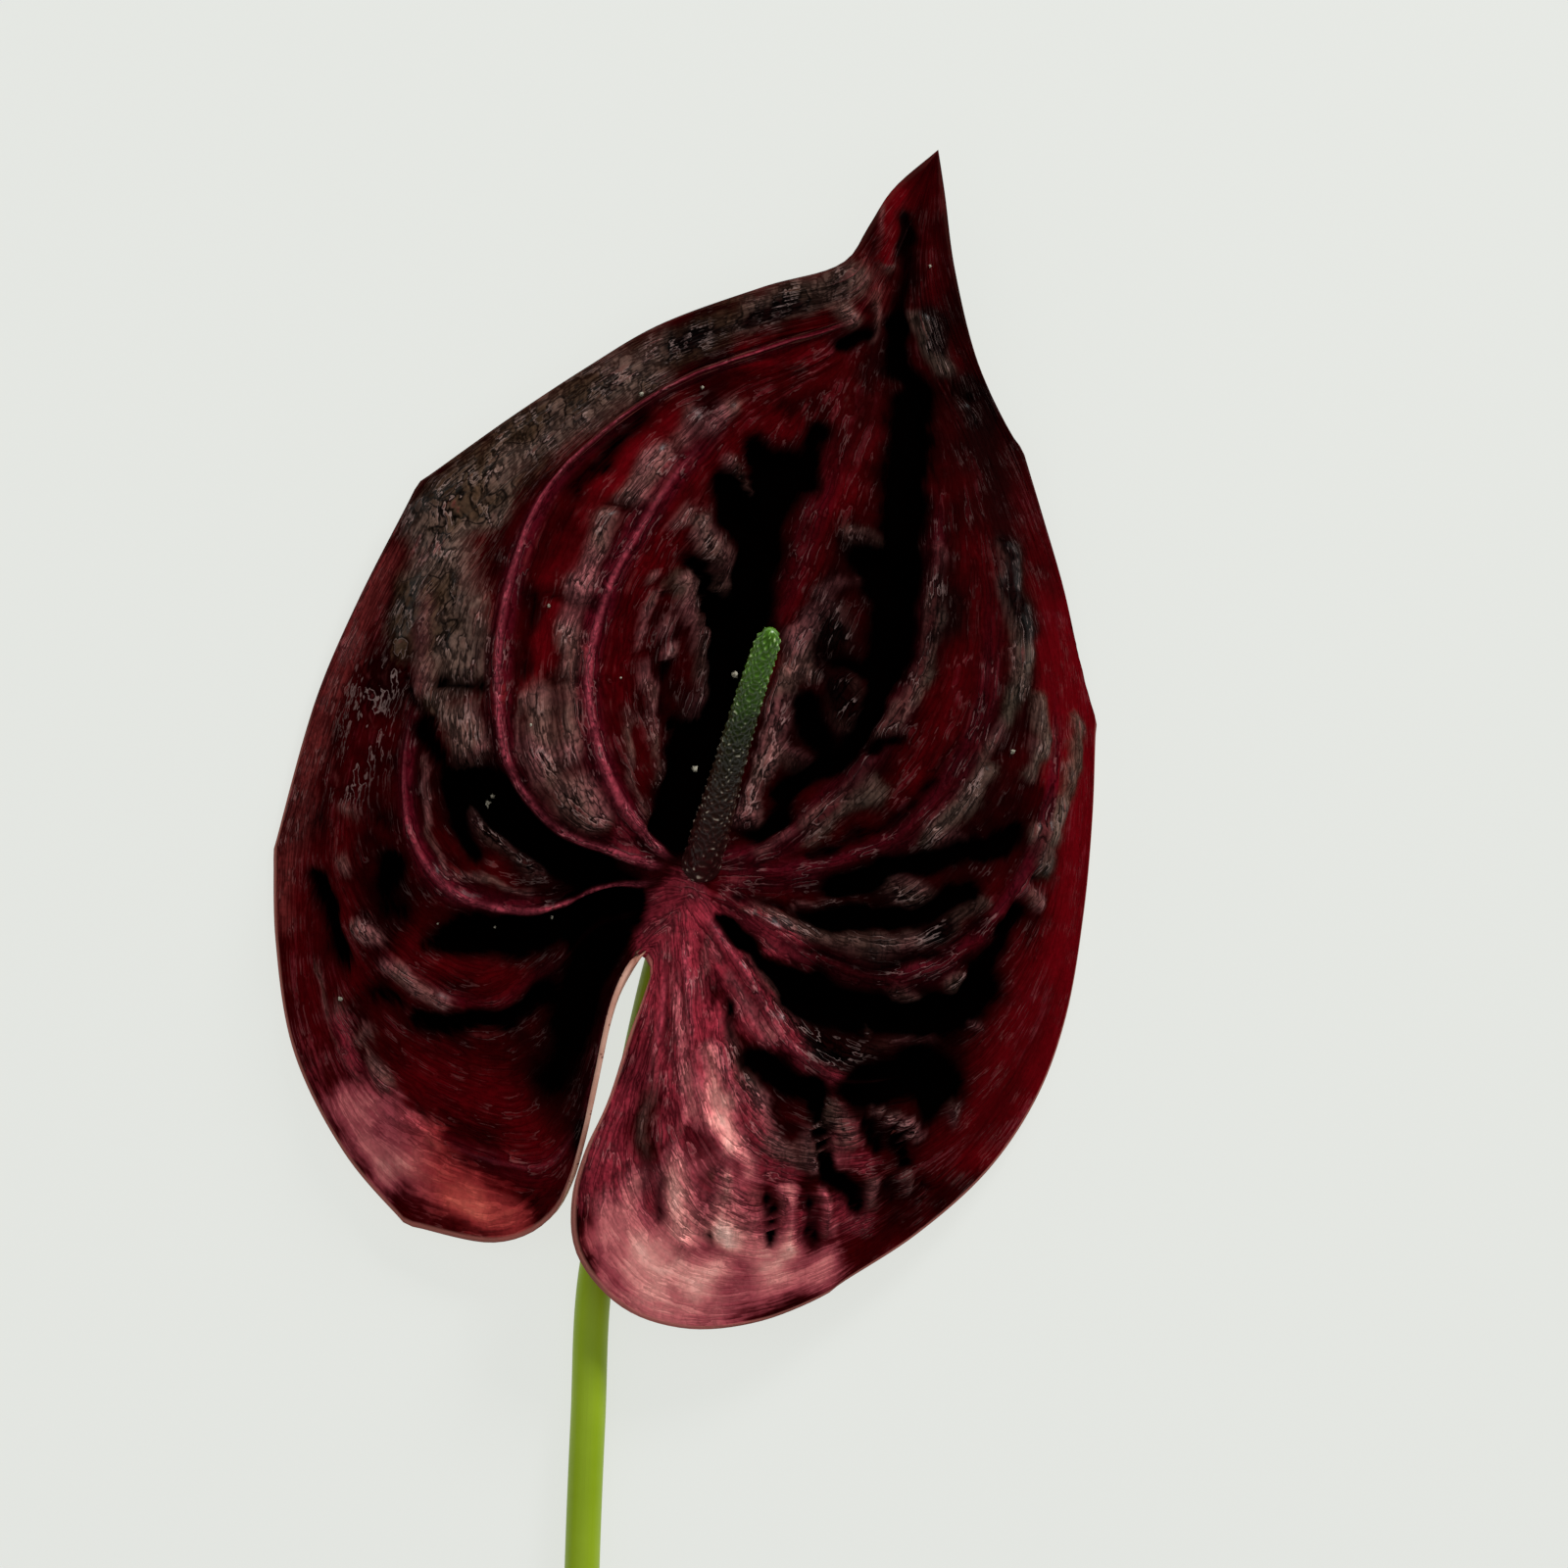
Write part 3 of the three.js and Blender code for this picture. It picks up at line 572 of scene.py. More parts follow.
# Size and push of the noise that frays the brushes' borders, in grid units
FRAYING = ((42.0, 9.0), (17.0, 5.0))
# How much of the swellings and hollows the shape takes, and how much swellings hide the hollows' painted
# shade
SWELLING_SCALE = 0.75
HOLLOW_SCALE = 0.65
HOLLOW_FILLING = 0.5

# Pollen crumbs on the spathe, with their place and radius
CRUMBS = [
    (750, 688, 0.55), (709, 785, 0.5), (497, 820, 0.6), (503, 812, 0.35), (561, 619, 0.3),
    (543, 740, 0.25), (655, 403, 0.35), (717, 396, 0.3), (346, 1020, 0.35), (949, 272, 0.25),
    (634, 692, 0.22), (1033, 767, 0.4), (447, 942, 0.2), (505, 946, 0.2), (563, 936, 0.25)]
CRUMB_LUMPS = 1.9
CRUMB_SIZE = 0.9

# The stem's centre line and the spadix's
STEM_LINE = [
    (566, 2818, 2.7), (572, 2500, 2.7), (583, 2100, 2.7), (589, 1800, 2.7), (593, 1600, 2.7),
    (599, 1450, 2.7), (606, 1310, 2.8), (636, 1160, 3.6), (661, 1040, 5), (677, 975, 6.2),
    (690, 930, 7.6), (701, 904, 9.4)]
STEM_TOP = (707, 891)
SPADIX_FOOT = (716, 880)
SPADIX_LINE = [(724, 853, 16.6), (739, 800, 24), (754, 748, 31.5), (770, 697, 38.8), (788, 645, 46.2)]

# The UV map of the stem and the spadix
TUBE_MAP = "way_round_and_along"

# The stem's mesh, its rings crowded towards the neck, the neck's start, and its depth below the blade
STEM_SIDES = 40
STEM_RINGS = 160
STEM_CROWDING = 2.2
NECK_START = 0.955
NECK_SINK = 1.0

# The spadix's mesh, its florets and how they stray, the rise of their domes and knobs, and its shape
SPADIX_SIDES = 120
SPADIX_RINGS = 330
FLORETS_ROUND = 9
FLORET_ROWS = 28
FLORET_RISE = 0.32
FLORET_SWAY = 0.6
SWAYS_ROUND = 2.5
SWAYS_ALONG = 7
KNOB_HALF_WIDTH = 0.42
KNOB_STRENGTH = 0.7
DOME_RISE = 0.45
KNOB_RISE = 0.75
FULL_RISE = 1.1
SPADIX_SLIMMING = 0.36
SLIMMING_POWER = 0.7
SPADIX_FOOT_SHARE = 0.12
SPADIX_TIP_SHARE = 0.07
SPADIX_TIP_ROUNDING = 0.995
# Shares of the spadix's length over which its florets rise and die away
FLORETS_START = (0.0, 0.03)
FLORETS_END = (0.97, 1.0)

# The camera looks straight down and frames a square of the sketch grid. Its height and its sensor are in
# millimetres, and its reach in metres.
VIEW_CENTRE = (800, 800)
VIEW_SIDE = 1600
CAMERA_HEIGHT = 2000.0
CAMERA_REACH = 20.0
SENSOR = 36.0

# Lamps that face the spathe: direction, distance, size, radiance and whether reflections show them
LIGHT_TARGET = Vector((0, 0.1, 0.01))
LAMPS = {
    "overhead": ((0, 0, 1), 1.6, (2.0, 2.0), 0.5, False),
    "top_window": ((0.42, 0.68, 0.36), 1.3, (0.35, 0.35), 36, True),
    "left_window": ((-0.80, 0.20, 0.56), 1.3, (0.6, 0.9), 0.9, False)}
# The room's light, and what shiny skin reflects of it
ROOM_LIGHT = 0.28
REFLECTED_ROOM = (0.02, 0.02, 0.02, 1)
# The floor's half width in metres, and how far it lies below the flower in millimetres
FLOOR_HALF_WIDTH = 3.0
FLOOR_DROP = 0.2

# Waves that make the wrinkles, ribs and fibres, in metres, and how far the wrinkles stray
WRINKLES_ALONG_VEINS = {"Width": 0.001, "Length": 0.007, "Drift": 1.2}
WRINKLES_EVERY_WAY = {"Width": 0.0017, "Length": 0.0042, "Drift": 1.6}
BACK_RIBS = {"Width": 0.0012, "Length": 0.01}
STEM_FIBRES = {"Width": 0.0007, "Length": 0.03}

# Colours of the blade's face: its ground, the two of the painted sheen on its pads and of its leathery band
# with painted sheen, its painted highlight lines, its pale edge, and those of the salmon as it spreads
GROUND = [(0.38, (0.010, 0.0002, 0.0004)), (0.62, (0.040, 0.0005, 0.0011))]
PAD_SHEEN = ((0.255, 0.078, 0.082), (0.175, 0.086, 0.070))
LEATHER_AND_SHEEN = ((0.052, 0.028, 0.016), (0.122, 0.072, 0.056))
HIGHLIGHT_LINE = (0.42, 0.29, 0.27)
PALE_EDGE = (0.42, 0.15, 0.12)
FLUSH = [
    (0.1, (0.130, 0.008, 0.014)), (0.35, (0.36, 0.062, 0.080)), (0.55, (0.62, 0.165, 0.170)),
    (0.75, (0.92, 0.37, 0.33)), (1.0, (1.0, 0.58, 0.50))]
# The left lobe's salmon is warmer, in a stretch across the blade with soft ends, in metres
WARM_TINT = (0.92, 0.50, 0.40)
WARM_LEFT_END = (-0.046, -0.036)
WARM_RIGHT_END = (-0.012, -0.020)
# Up the blade in metres, where pale edges fade in towards the lobes and the back darkens towards the tip
PALE_LOBES = (0.12, 0.1)
DARK_TIP = (0.168, 0.178)
# How much the wrinkles fray each paint's border, and where its mask starts and is full
MASKS = {
    "crimson": (0.3, 0.1, 0.95), "swelling": (0.4, 0.02, 1.1), "olive_sheen": (0.5, 0.1, 1.15),
    "olive": (0.6, 0.1, 0.95), "dusk": (0.6, 0.1, 0.95), "rose": (0.6, 0.1, 0.95),
    "shadow": (0.2, 0.1, 0.9), "hollow": (0.4, 0.04, 0.72)}


def sketch(u, v, height=0.0):
    """A point of the sketch grid in millimetres in the part's frame."""
    return Vector(((u - SKETCH_ORIGIN_U) * SKETCH_UNIT, (SKETCH_ORIGIN_V - v) * SKETCH_UNIT, height))


def sketch_place(point):
    """Where a point in millimetres lies on the sketch grid."""
    return point.x / SKETCH_UNIT + SKETCH_ORIGIN_U, SKETCH_ORIGIN_V - point.y / SKETCH_UNIT


def smooth(value, start, end):
    """0 below start, 1 above end, and a soft ramp between."""
    share = min(max((value - start) / (end - start), 0.0), 1.0)
    return share * share * (3 - 2 * share)


def bump(distance, half_width, power=2):
    """1 at no distance, and less than half at a half width."""
    return math.exp(-(distance / half_width) ** power)


class Curve:
    """A smooth curve through points, the centripetal Catmull-Rom spline."""

    def __init__(self, points):
        padded = [points[0] * 2 - points[1], *points, points[-1] * 2 - points[-2]]
        self.spans = [self.span(*padded[i:i + 4]) for i in range(len(points) - 1)]

    @staticmethod
    def span(before, start, end, after):
        """The ends of the span from start to end, and the curve's directions there."""
        knot_before, knot, knot_after = (
            math.sqrt((far - near).length) for near, far in ((before, start), (start, end), (end, after)))
        knot = knot if knot > SAME_KNOT else 1.0
        knot_before = knot_before if knot_before > SAME_KNOT else knot
        knot_after = knot_after if knot_after > SAME_KNOT else knot
        middle = (end - start) / knot
        leaving = (start - before) / knot_before - (end - before) / (knot_before + knot) + middle
        arriving = middle - (after - start) / (knot + knot_after) + (after - end) / knot_after
        return start, end, leaving * knot, arriving * knot

    def at(self, place):
        """The point at a place counted in spans from the start."""
        index = min(int(place), len(self.spans) - 1)
        t = place - index
        start, end, leaving, arriving = self.spans[index]
        return (start * (2 * t ** 3 - 3 * t ** 2 + 1) + leaving * (t ** 3 - 2 * t ** 2 + t)
                + end * (3 * t ** 2 - 2 * t ** 3) + arriving * (t ** 3 - t ** 2))

    def evenly(self, shares, steps=400):
        """The points at shares of the curve's length, and that length."""
        dense = [self.at(len(self.spans) * i / steps) for i in range(steps + 1)]
        lengths = [0.0]
        for before, after in zip(dense, dense[1:]):
            lengths.append(lengths[-1] + (after - before).length)
        points = []
        place = 0
        for share in shares:
            wanted = share * lengths[-1]
            while place < steps - 1 and lengths[place + 1] < wanted:
                place += 1
            step = lengths[place + 1] - lengths[place]
            points.append(dense[place].lerp(dense[place + 1], (wanted - lengths[place]) / step))
        return points, lengths[-1]


def new_piece(name, mesh_data, materials):
    """Adds a finished mesh to the scene, with its slots, riding on the flower's one body."""
    mesh = bpy.data.meshes.new(name)
    mesh_data.to_mesh(mesh)
    mesh_data.free()
    mesh.polygons.foreach_set("use_smooth", [True] * len(mesh.polygons))
    piece = bpy.data.objects.new(name, mesh)
    bpy.context.scene.collection.objects.link(piece)
    for material in materials:
        mesh.materials.append(material)
    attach(piece, "root")
    return piece


# Spathe

def spathe_columns():
    """The column places, counted in lines from the left margin."""
    columns = []
    for gap, count in enumerate(COLUMNS_IN_GAP):
        for step in range(count):
            share = step / count
            columns.append(gap + share - CROWDING * math.sin(2 * math.pi * share))
    return columns + [float(LAST_LINE)]


def path_distance(path, u, v):
    """How far a point of the sketch grid is from a path."""
    nearest = math.inf
    for (u0, v0), (u1, v1) in zip(path, path[1:]):
        du, dv = u1 - u0, v1 - v0
        share = ((u - u0) * du + (v - v0) * dv) / (du * du + dv * dv)
        share = min(max(share, 0.0), 1.0)
        nearest = min(nearest, math.hypot(u - u0 - share * du, v - v0 - share * dv))
    return nearest


def brush_cells():
    """The brushes that each square cell of the sketch grid feels."""
    cells = {}
    for paint, brushes in PAINTS.items():
        for amount, half_width, path in brushes:
            reach = BRUSH_REACH * half_width
            columns, rows = (
                range(int((min(way) - reach) // BRUSH_CELL), int((max(way) + reach) // BRUSH_CELL) + 1)
                for way in zip(*path))
            for column in columns:
                for row in rows:
                    cells.setdefault((column, row), []).append((paint, amount, half_width, path))
    return cells


def frayed(u, v):
    """A point of the sketch grid pushed about, which gives the brushes uneven borders."""
    for size, push in FRAYING:
        way = noise.noise_vector(Vector((u / size, v / size, size)))
        u, v = u + push * way.x, v + push * way.y
    return u, v


def painted(cells, u, v):
    """The strength of every paint at a point of the sketch grid."""
    u, v = frayed(u, v)
    marks = dict.fromkeys(PAINTS, 0.0)
    for paint, amount, half_width, path in cells.get((int(u // BRUSH_CELL), int(v // BRUSH_CELL)), ()):
        marks[paint] += amount * bump(path_distance(path, u, v), half_width, BRUSH_POWERS.get(paint, 2))
    return marks


def vein_profile(across, along, spacing):
    """Height of the vein and its side valleys, its pale crest, pink and partly a painted highlight, and its
    crimson flanks.
    """
    gap = min(int(across), LAST_LINE - 1)
    share = across - gap
    near_left = share < 0.5
    strength, reach, pale = VEINS[gap if near_left else gap + 1]
    faded = smooth(along, reach - VEIN_FADE_BEFORE, reach + VEIN_FADE_PAST)
    shown = smooth(along, *VEIN_START) * (1 - faded)
    distance = (share if near_left else 1 - share) * spacing
    vein = bump(distance, VEIN_HALF_WIDTH)
    valley = bump(distance - VALLEY_DISTANCE, VALLEY_HALF_WIDTH)
    foot = max(1 - along / reach, 0.0)
    paleness = pale * (CREST_PALENESS_FAR + (1 - CREST_PALENESS_FAR) * foot)
    crest = paleness * bump(distance, CREST_HALF_WIDTH * (1 + CREST_WIDENING * foot))
    flank = strength * bump(distance - FLANK_DISTANCE, FLANK_HALF_WIDTH)
    return shown * strength * (VEIN_RISE * vein - VALLEY_DEPTH * valley), shown * crest, shown * flank


def wrinkles(across, along):
    """Long soft wrinkles that run with the veins, in millimetres over the flat blade."""
    drift = noise.noise(Vector((across / DRIFT_SIZE, along / DRIFT_SIZE, 2.0))) * WRINKLE_DRIFT
    fine = noise.noise(Vector((across / WRINKLE_WIDTH + drift, along / WRINKLE_LENGTH, 0.0)))
    return WRINKLE_RISE * (abs(fine) * 2 - 0.5)


def near_line(places, column, across, parity):
    """The way across from the nearest line of a parity, and that line's own stretch of the map."""
    line = 2 * round((across - parity) / 2) + parity
    line = min(max(line, parity), LAST_LINE - (LAST_LINE - parity) % 2)
    return places[column] - places[LINE_COLUMNS[line]] + MAP_STRETCH * line


def face_relief(across, along, length, spacing, edge, even, odd, marks):
    """Height of a face point over the smooth blade in millimetres, which also settles the point's marks."""
    turn = math.sin(math.pi / 2 * across) ** 2
    rise, crest, flank = vein_profile(across, along, spacing)
    rooted = smooth(along, *RELIEF_START) * (1 - smooth(along, *RELIEF_END))
    room = smooth(spacing / FULL_RELIEF_SPACING, 0.0, 1.0)
    rolled = (1 - smooth(across, *ROLLED_ACROSS)) * (1 - smooth(along, *ROLLED_ALONG))
    soft = (1 - turn) * wrinkles(even, along * length) + turn * wrinkles(odd, along * length)
    soft *= smooth(edge, *CALM_MARGIN) * room
    brushed = SWELLING_SCALE * marks["swelling"] - HOLLOW_SCALE * marks["hollow"]
    brushed *= smooth(spacing / BRUSH_SPACING, 0.0, 1.0)
    marks["swelling"] /= FULL_SWELLING
    hollow = (1 - rolled) * marks["hollow"] / FULL_HOLLOW - HOLLOW_FILLING * marks["swelling"]
    marks.update(hollow=max(hollow, 0.0), crest=crest, flank=flank, edge=edge * MM, odd=turn)
    return (1 - rolled) * rooted * (room * rise + soft + brushed)


def seam_rows(first):
    """Rows that close the sinus, from its middle to the first row of the face."""
    seam = []
    for row in range(SEAM_ROWS):
        points = []
        for point, partner in zip(first, reversed(first)):
            centre = (point["place"] + partner["place"]) / 2
            place = centre.lerp(point["place"], row / SEAM_ROWS)
            points.append(dict(point, place=place, marks=dict(point["marks"], edge=SEAM_EDGE * MM)))
        seam.append(points)
    return seam


def spathe_grid():
    """Rows of face points with their marks, from the seam at the sinus to the tip."""
    cells = brush_cells()
    columns = spathe_columns()
    last = len(columns) - 1
    shares = [row / ROWS for row in range(ROWS + 1)]
    lines, lengths = zip(*(Curve([sketch(*point) for point in line]).evenly(shares) for line in LINES))
    crosses = [Curve([line[row] for line in lines]) for row in range(ROWS + 1)]
    sheet = [[cross.at(across) for across in columns] for cross in crosses]
    rows = []
    for row, along in enumerate(shares):
        low, high = max(row - 1, 0), min(row + 1, ROWS - 1)
        level = sheet[min(row, ROWS - 2)]
        places = [0.0]
        for before, after in zip(sheet[row], sheet[row][1:]):
            places.append(places[-1] + (after - before).length)
        points = []
        for column, across in enumerate(columns):
            gap = min(int(across), LAST_LINE - 1)
            length = lengths[gap] + (lengths[gap + 1] - lengths[gap]) * (across - gap)
            sideways = level[min(column + 1, last)] - level[max(column - 1, 0)]
            onwards = sheet[high][column] - sheet[low][column]
            place = sheet[row][column]
            marks = painted(cells, *sketch_place(place))
            height = face_relief(
                across, along, length, spacing=(lines[gap + 1][row] - lines[gap][row]).length,
                edge=min(places[column], places[-1] - places[column]), marks=marks,
                even=near_line(places, column, across, 0), odd=near_line(places, column, across, 1))
            points.append({
                "place": place + sideways.cross(onwards).normalized() * height,
                "places": places,
                "along": along * length,
                "marks": marks,
                "thickness": 1 - TIP_THINNING * smooth(along, *TIP_THINNED),
            })
        rows.append(points)
    return seam_rows(rows[0]) + rows


def make_spathe(grid, materials):
    """The blade: a sheet through the grid, with vertex marks and UV maps, given its thickness."""
    columns = spathe_columns()
    last_row = len(grid) - 1
    last_column = len(grid[0]) - 1
    shape = bmesh.new()
    bmesh.ops.create_grid(shape, x_segments=last_column, y_segments=last_row, size=1)
    maps = [shape.loops.layers.uv.new(name) for name in BLADE_MAPS]
    layers = {name: shape.verts.layers.float.new(name) for name in MARKS}
    weights = shape.verts.layers.deform.new()
    corner = {}
    for vert in shape.verts:
        column = round((vert.co.x + 1) / 2 * last_column)
        row = round((vert.co.y + 1) / 2 * last_row)
        corner[vert] = (grid[row][column], column)
    for face in shape.faces:
        middle = sum(columns[corner[vert][1]] for vert in face.verts) / len(face.verts)
        for loop in face.loops:
            point, column = corner[loop.vert]
            for parity, flat in enumerate(maps):
                across = near_line(point["places"], column, middle, parity)
                loop[flat].uv = (across * MM, point["along"] * MM)
    for vert in shape.verts:
        point = corner[vert][0]
        for name, layer in layers.items():
            vert[layer] = point["marks"][name]
        vert[weights][0] = point["thickness"]
        vert.co = point["place"] * MM
    bmesh.ops.remove_doubles(shape, verts=shape.verts, dist=MERGE_DISTANCE)
    bmesh.ops.recalc_face_normals(shape, faces=shape.faces)
    if sum(face.normal.z * face.calc_area() for face in shape.faces) < 0:
        bmesh.ops.reverse_faces(shape, faces=shape.faces)
    piece = new_piece("spathe_blade", shape, materials)
    wall = piece.modifiers.new("blade_thickness", "SOLIDIFY")
    wall.vertex_group = piece.vertex_groups.new(name="thickness").name
    wall.thickness = BLADE_THICKNESS * MM
    wall.offset = -1
    wall.material_offset = 1
    wall.material_offset_rim = 1
    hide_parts("spathe")
    return piece


def make_crumbs(grid, materials):
    """Crumbs of pollen that have fallen on the spathe."""
    points = [point["place"] for row in grid for point in row]
    shape = bmesh.new()
    for index, (u, v, radius) in enumerate(CRUMBS):
        spot = sketch(u, v)
        ground = min(points, key=lambda point: (point.x - spot.x) ** 2 + (point.y - spot.y) ** 2)
        centre = Vector((spot.x, spot.y, ground.z + 0.5 * radius))
        crumb = bmesh.ops.create_icosphere(shape, subdivisions=2, radius=radius * MM)["verts"]
        for vert in crumb:
            spot = vert.co * (CRUMB_LUMPS / (radius * MM)) + Vector((0, 0, index))
            vert.co = vert.co * CRUMB_SIZE * (1 + noise.noise(spot)) + centre * MM
    bmesh.ops.recalc_face_normals(shape, faces=shape.faces)
    return new_piece("pollen_crumbs", shape, materials)


# Tubes

def tube_grid(shape, sides, rings):
    """Lays a grid to be rolled into a tube, and gives each vertex's side and ring."""
    bmesh.ops.create_grid(shape, x_segments=sides, y_segments=rings, size=1)
    return {vert: (round((vert.co.x + 1) / 2 * sides), round((vert.co.y + 1) / 2 * rings))
            for vert in shape.verts}


def ring_points(centre, normal, radii):
    """Points round a centre, one for each radius."""
    up = normal.cross(Vector((1, 0, 0))).normalized()
    side = up.cross(normal)
    count = len(radii)
    return [centre + side * (radius * math.cos(2 * math.pi * i / count))
            + up * (radius * math.sin(2 * math.pi * i / count)) for i, radius in enumerate(radii)]


def make_tube(name, rings, girth, length, materials, knobs=None):
    """A closed tube piece whose UV map holds the way round and the way along, in metres."""
    shape = bmesh.new()
    layer = shape.verts.layers.float.new("knob") if knobs else None
    flat = shape.loops.layers.uv.new(TUBE_MAP)
    sides, last_ring = len(rings[0]), len(rings) - 1
    place = tube_grid(shape, sides, last_ring)
    for face in shape.faces:
        for loop in face.loops:
            side, ring = place[loop.vert]
            loop[flat].uv = (girth * side / sides * MM, length * ring / last_ring * MM)
    for vert in shape.verts:
        side, ring = place[vert]
        vert.co = rings[ring][side % sides] * MM
        if knobs:
            vert[layer] = knobs[ring][side % sides]
    bmesh.ops.remove_doubles(shape, verts=shape.verts, dist=MERGE_DISTANCE)
    open_edges = [edge for edge in shape.edges if edge.is_boundary]
    bmesh.ops.holes_fill(shape, edges=open_edges, sides=sides)
    bmesh.ops.recalc_face_normals(shape, faces=shape.faces)
    return new_piece(name, shape, materials)


def make_stem(materials):
    """A bare round rod that turns up into its neck under the spathe."""
    top = sketch(*STEM_TOP, SPATHE_HEIGHT_AT_FOOT - NECK_SINK - CLEARANCE)
    curve = Curve([*(sketch(*point) for point in STEM_LINE), top])
    shares = [1 - (1 - ring / STEM_RINGS) ** STEM_CROWDING for ring in range(STEM_RINGS + 1)]
    centres, length = curve.evenly(shares, steps=1200)
    rings = []
    for index, centre in enumerate(centres):
        neck = smooth(shares[index], NECK_START, 1)
        ahead = centres[min(index + 1, STEM_RINGS)] - centres[max(index - 1, 0)]
        normal = ahead.normalized().lerp(Vector((0, 0, 1)), neck).normalized()
        radius = (STEM_DIAMETER + (NECK_DIAMETER - STEM_DIAMETER) * neck) / 2
        rings.append(ring_points(centre, normal, [radius] * STEM_SIDES))
    piece = make_tube("stem_skin", rings, math.pi * STEM_DIAMETER, length, materials)
    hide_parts("stem")
    return piece


def spadix_radius(along):
    """The spadix's radius without florets: a taper with a slimmer middle and a round end."""
    widening = min(along / SPADIX_FOOT_SHARE, 1)
    base = SPADIX_FOOT_DIAMETER + (SPADIX_BASE_DIAMETER - SPADIX_FOOT_DIAMETER) * widening
    slimming = SPADIX_SLIMMING * math.sin(math.pi * along ** SLIMMING_POWER)
    taper = (base + (SPADIX_TOP_DIAMETER - base) * along) / 2 - slimming
    into_tip = max(0.0, (along - 1 + SPADIX_TIP_SHARE) / SPADIX_TIP_SHARE)
    return taper * math.sqrt(1 - (into_tip * SPADIX_TIP_ROUNDING) ** 2)


def floret_relief(turn, along):
    """Height of the florets on their two families of spirals, and of the round knob on each alone."""
    spot = Vector((math.cos(2 * math.pi * turn), math.sin(2 * math.pi * turn), SWAYS_ALONG * along))
    sway = noise.noise_vector(SWAYS_ROUND * spot)
    first = FLORETS_ROUND * turn + FLORET_ROWS * along + FLORET_SWAY * sway.x
    second = FLORETS_ROUND * turn - FLORET_ROWS * along + FLORET_SWAY * sway.y
    first_off = abs(first - round(first)) * 2
    second_off = abs(second - round(second)) * 2
    dome = (1 - first_off ** 4) * (1 - second_off ** 4)
    knob = KNOB_STRENGTH * (1 + sway.z) * bump(math.hypot(first_off, second_off), KNOB_HALF_WIDTH)
    return DOME_RISE * dome + KNOB_RISE * knob, knob


def make_spadix(materials):
    """A rod of florets that leans away from its foot on the spathe."""
    foot = sketch(*SPADIX_FOOT, SPATHE_HEIGHT_AT_FOOT + CLEARANCE)
    curve = Curve([foot, *(sketch(*point) for point in SPADIX_LINE)])
    shares = [ring / SPADIX_RINGS for ring in range(SPADIX_RINGS + 1)]
    centres, length = curve.evenly(shares)
    rings, knobs = [], []
    for index, centre in enumerate(centres):
        along = shares[index]
        lean = smooth(along, 0, SPADIX_FOOT_SHARE)
        ahead = (centres[min(index + 1, SPADIX_RINGS)] - centres[max(index - 1, 0)]).normalized()
        normal = Vector((0, 0, 1)).lerp(ahead, lean).normalized()
        shown = smooth(along, *FLORETS_START) * (1 - smooth(along, *FLORETS_END))
        reliefs, tops = zip(*(floret_relief(side / SPADIX_SIDES, along) for side in range(SPADIX_SIDES)))
        radii = [spadix_radius(along) + shown * FLORET_RISE * (relief - FULL_RISE) for relief in reliefs]
        rings.append(ring_points(centre, normal, radii))
        knobs.append(tops)
    piece = make_tube("spadix_florets", rings, math.pi * SPADIX_BASE_DIAMETER, length, materials, knobs)
    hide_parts("spadix")
    return piece


# Materials

def new_material(name):
    material = bpy.data.materials.new(name)
    material.use_nodes = True
    tree = material.node_tree
    return material, tree, tree.nodes["Principled BSDF"]


def give(tree, node, inputs):
    """Sets a node's inputs by name or number, each to a value or the socket that feeds it."""
    for name, value in inputs.items():
        if isinstance(value, bpy.types.NodeSocket):
            tree.links.new(value, node.inputs[name])
        else:
            node.inputs[name].default_value = value


def add(tree, kind, inputs=None, **settings):
    """A node with its settings and its inputs."""
    made = tree.nodes.new(kind)
    for name, value in settings.items():
        setattr(made, name, value)
    give(tree, made, inputs or {})
    return made


def ramp(tree, factor, stops):
    """A colour ramp through (place, colour) stops."""
    made = add(tree, "ShaderNodeValToRGB", {"Fac": factor})
    elements = made.color_ramp.elements
    while len(elements) < len(stops):
        elements.new(0.5)
    for element, (place, colour) in zip(elements, stops):
        element.position = place
        element.color = (*colour, 1)
    return made.outputs["Color"]


def spread(tree, factor, low, high, start=0.0, end=1.0):
    """Maps a mask from low..high to start..end, smoothly."""
    made = add(tree, "ShaderNodeMapRange",
               {"Value": factor, "From Min": low, "From Max": high, "To Min": start, "To Max": end},
               interpolation_type="SMOOTHSTEP")
    return made.outputs["Result"]


def maths(tree, operation, *values, clamped=False):
    made = add(tree, "ShaderNodeMath", dict(enumerate(values)), operation=operation, use_clamp=clamped)
    return made.outputs["Value"]


def times(tree, product, *factors):
    """Multiplies values."""
    for factor in factors:
        product = maths(tree, "MULTIPLY", product, factor)
    return product


def scaled(tree, value, factor, added):
    """A value times a factor, with another added."""
    return maths(tree, "MULTIPLY_ADD", value, factor, added)


def vectors(tree, operation, first, second):
    """Maths with two vectors, or a vector and the scale for it."""
    inputs = {0: first, "Scale" if operation == "SCALE" else 1: second}
    return add(tree, "ShaderNodeVectorMath", inputs, operation=operation).outputs["Vector"]


def blended(tree, factor, below, above):
    """Mixes two values by a mask."""
    return add(tree, "ShaderNodeMix", {"Factor": factor, "A": below, "B": above}).outputs["Result"]


def mixed(tree, factor, below, above, blend="MIX"):
    """Mixes two colours by a mask."""
    below, above = (
        value if isinstance(value, bpy.types.NodeSocket) else (*value, 1) for value in (below, above))
    made = add(tree, "ShaderNodeMix", data_type="RGBA", blend_type=blend)
    give(tree, made, {"Factor": factor, 6: below, 7: above})
    return made.outputs[2]


def mark(tree, name):
    """A number that each vertex has."""
    return add(tree, "ShaderNodeAttribute", attribute_name=name).outputs["Fac"]


def object_place(tree):
    return add(tree, "ShaderNodeTexCoord").outputs["Object"]


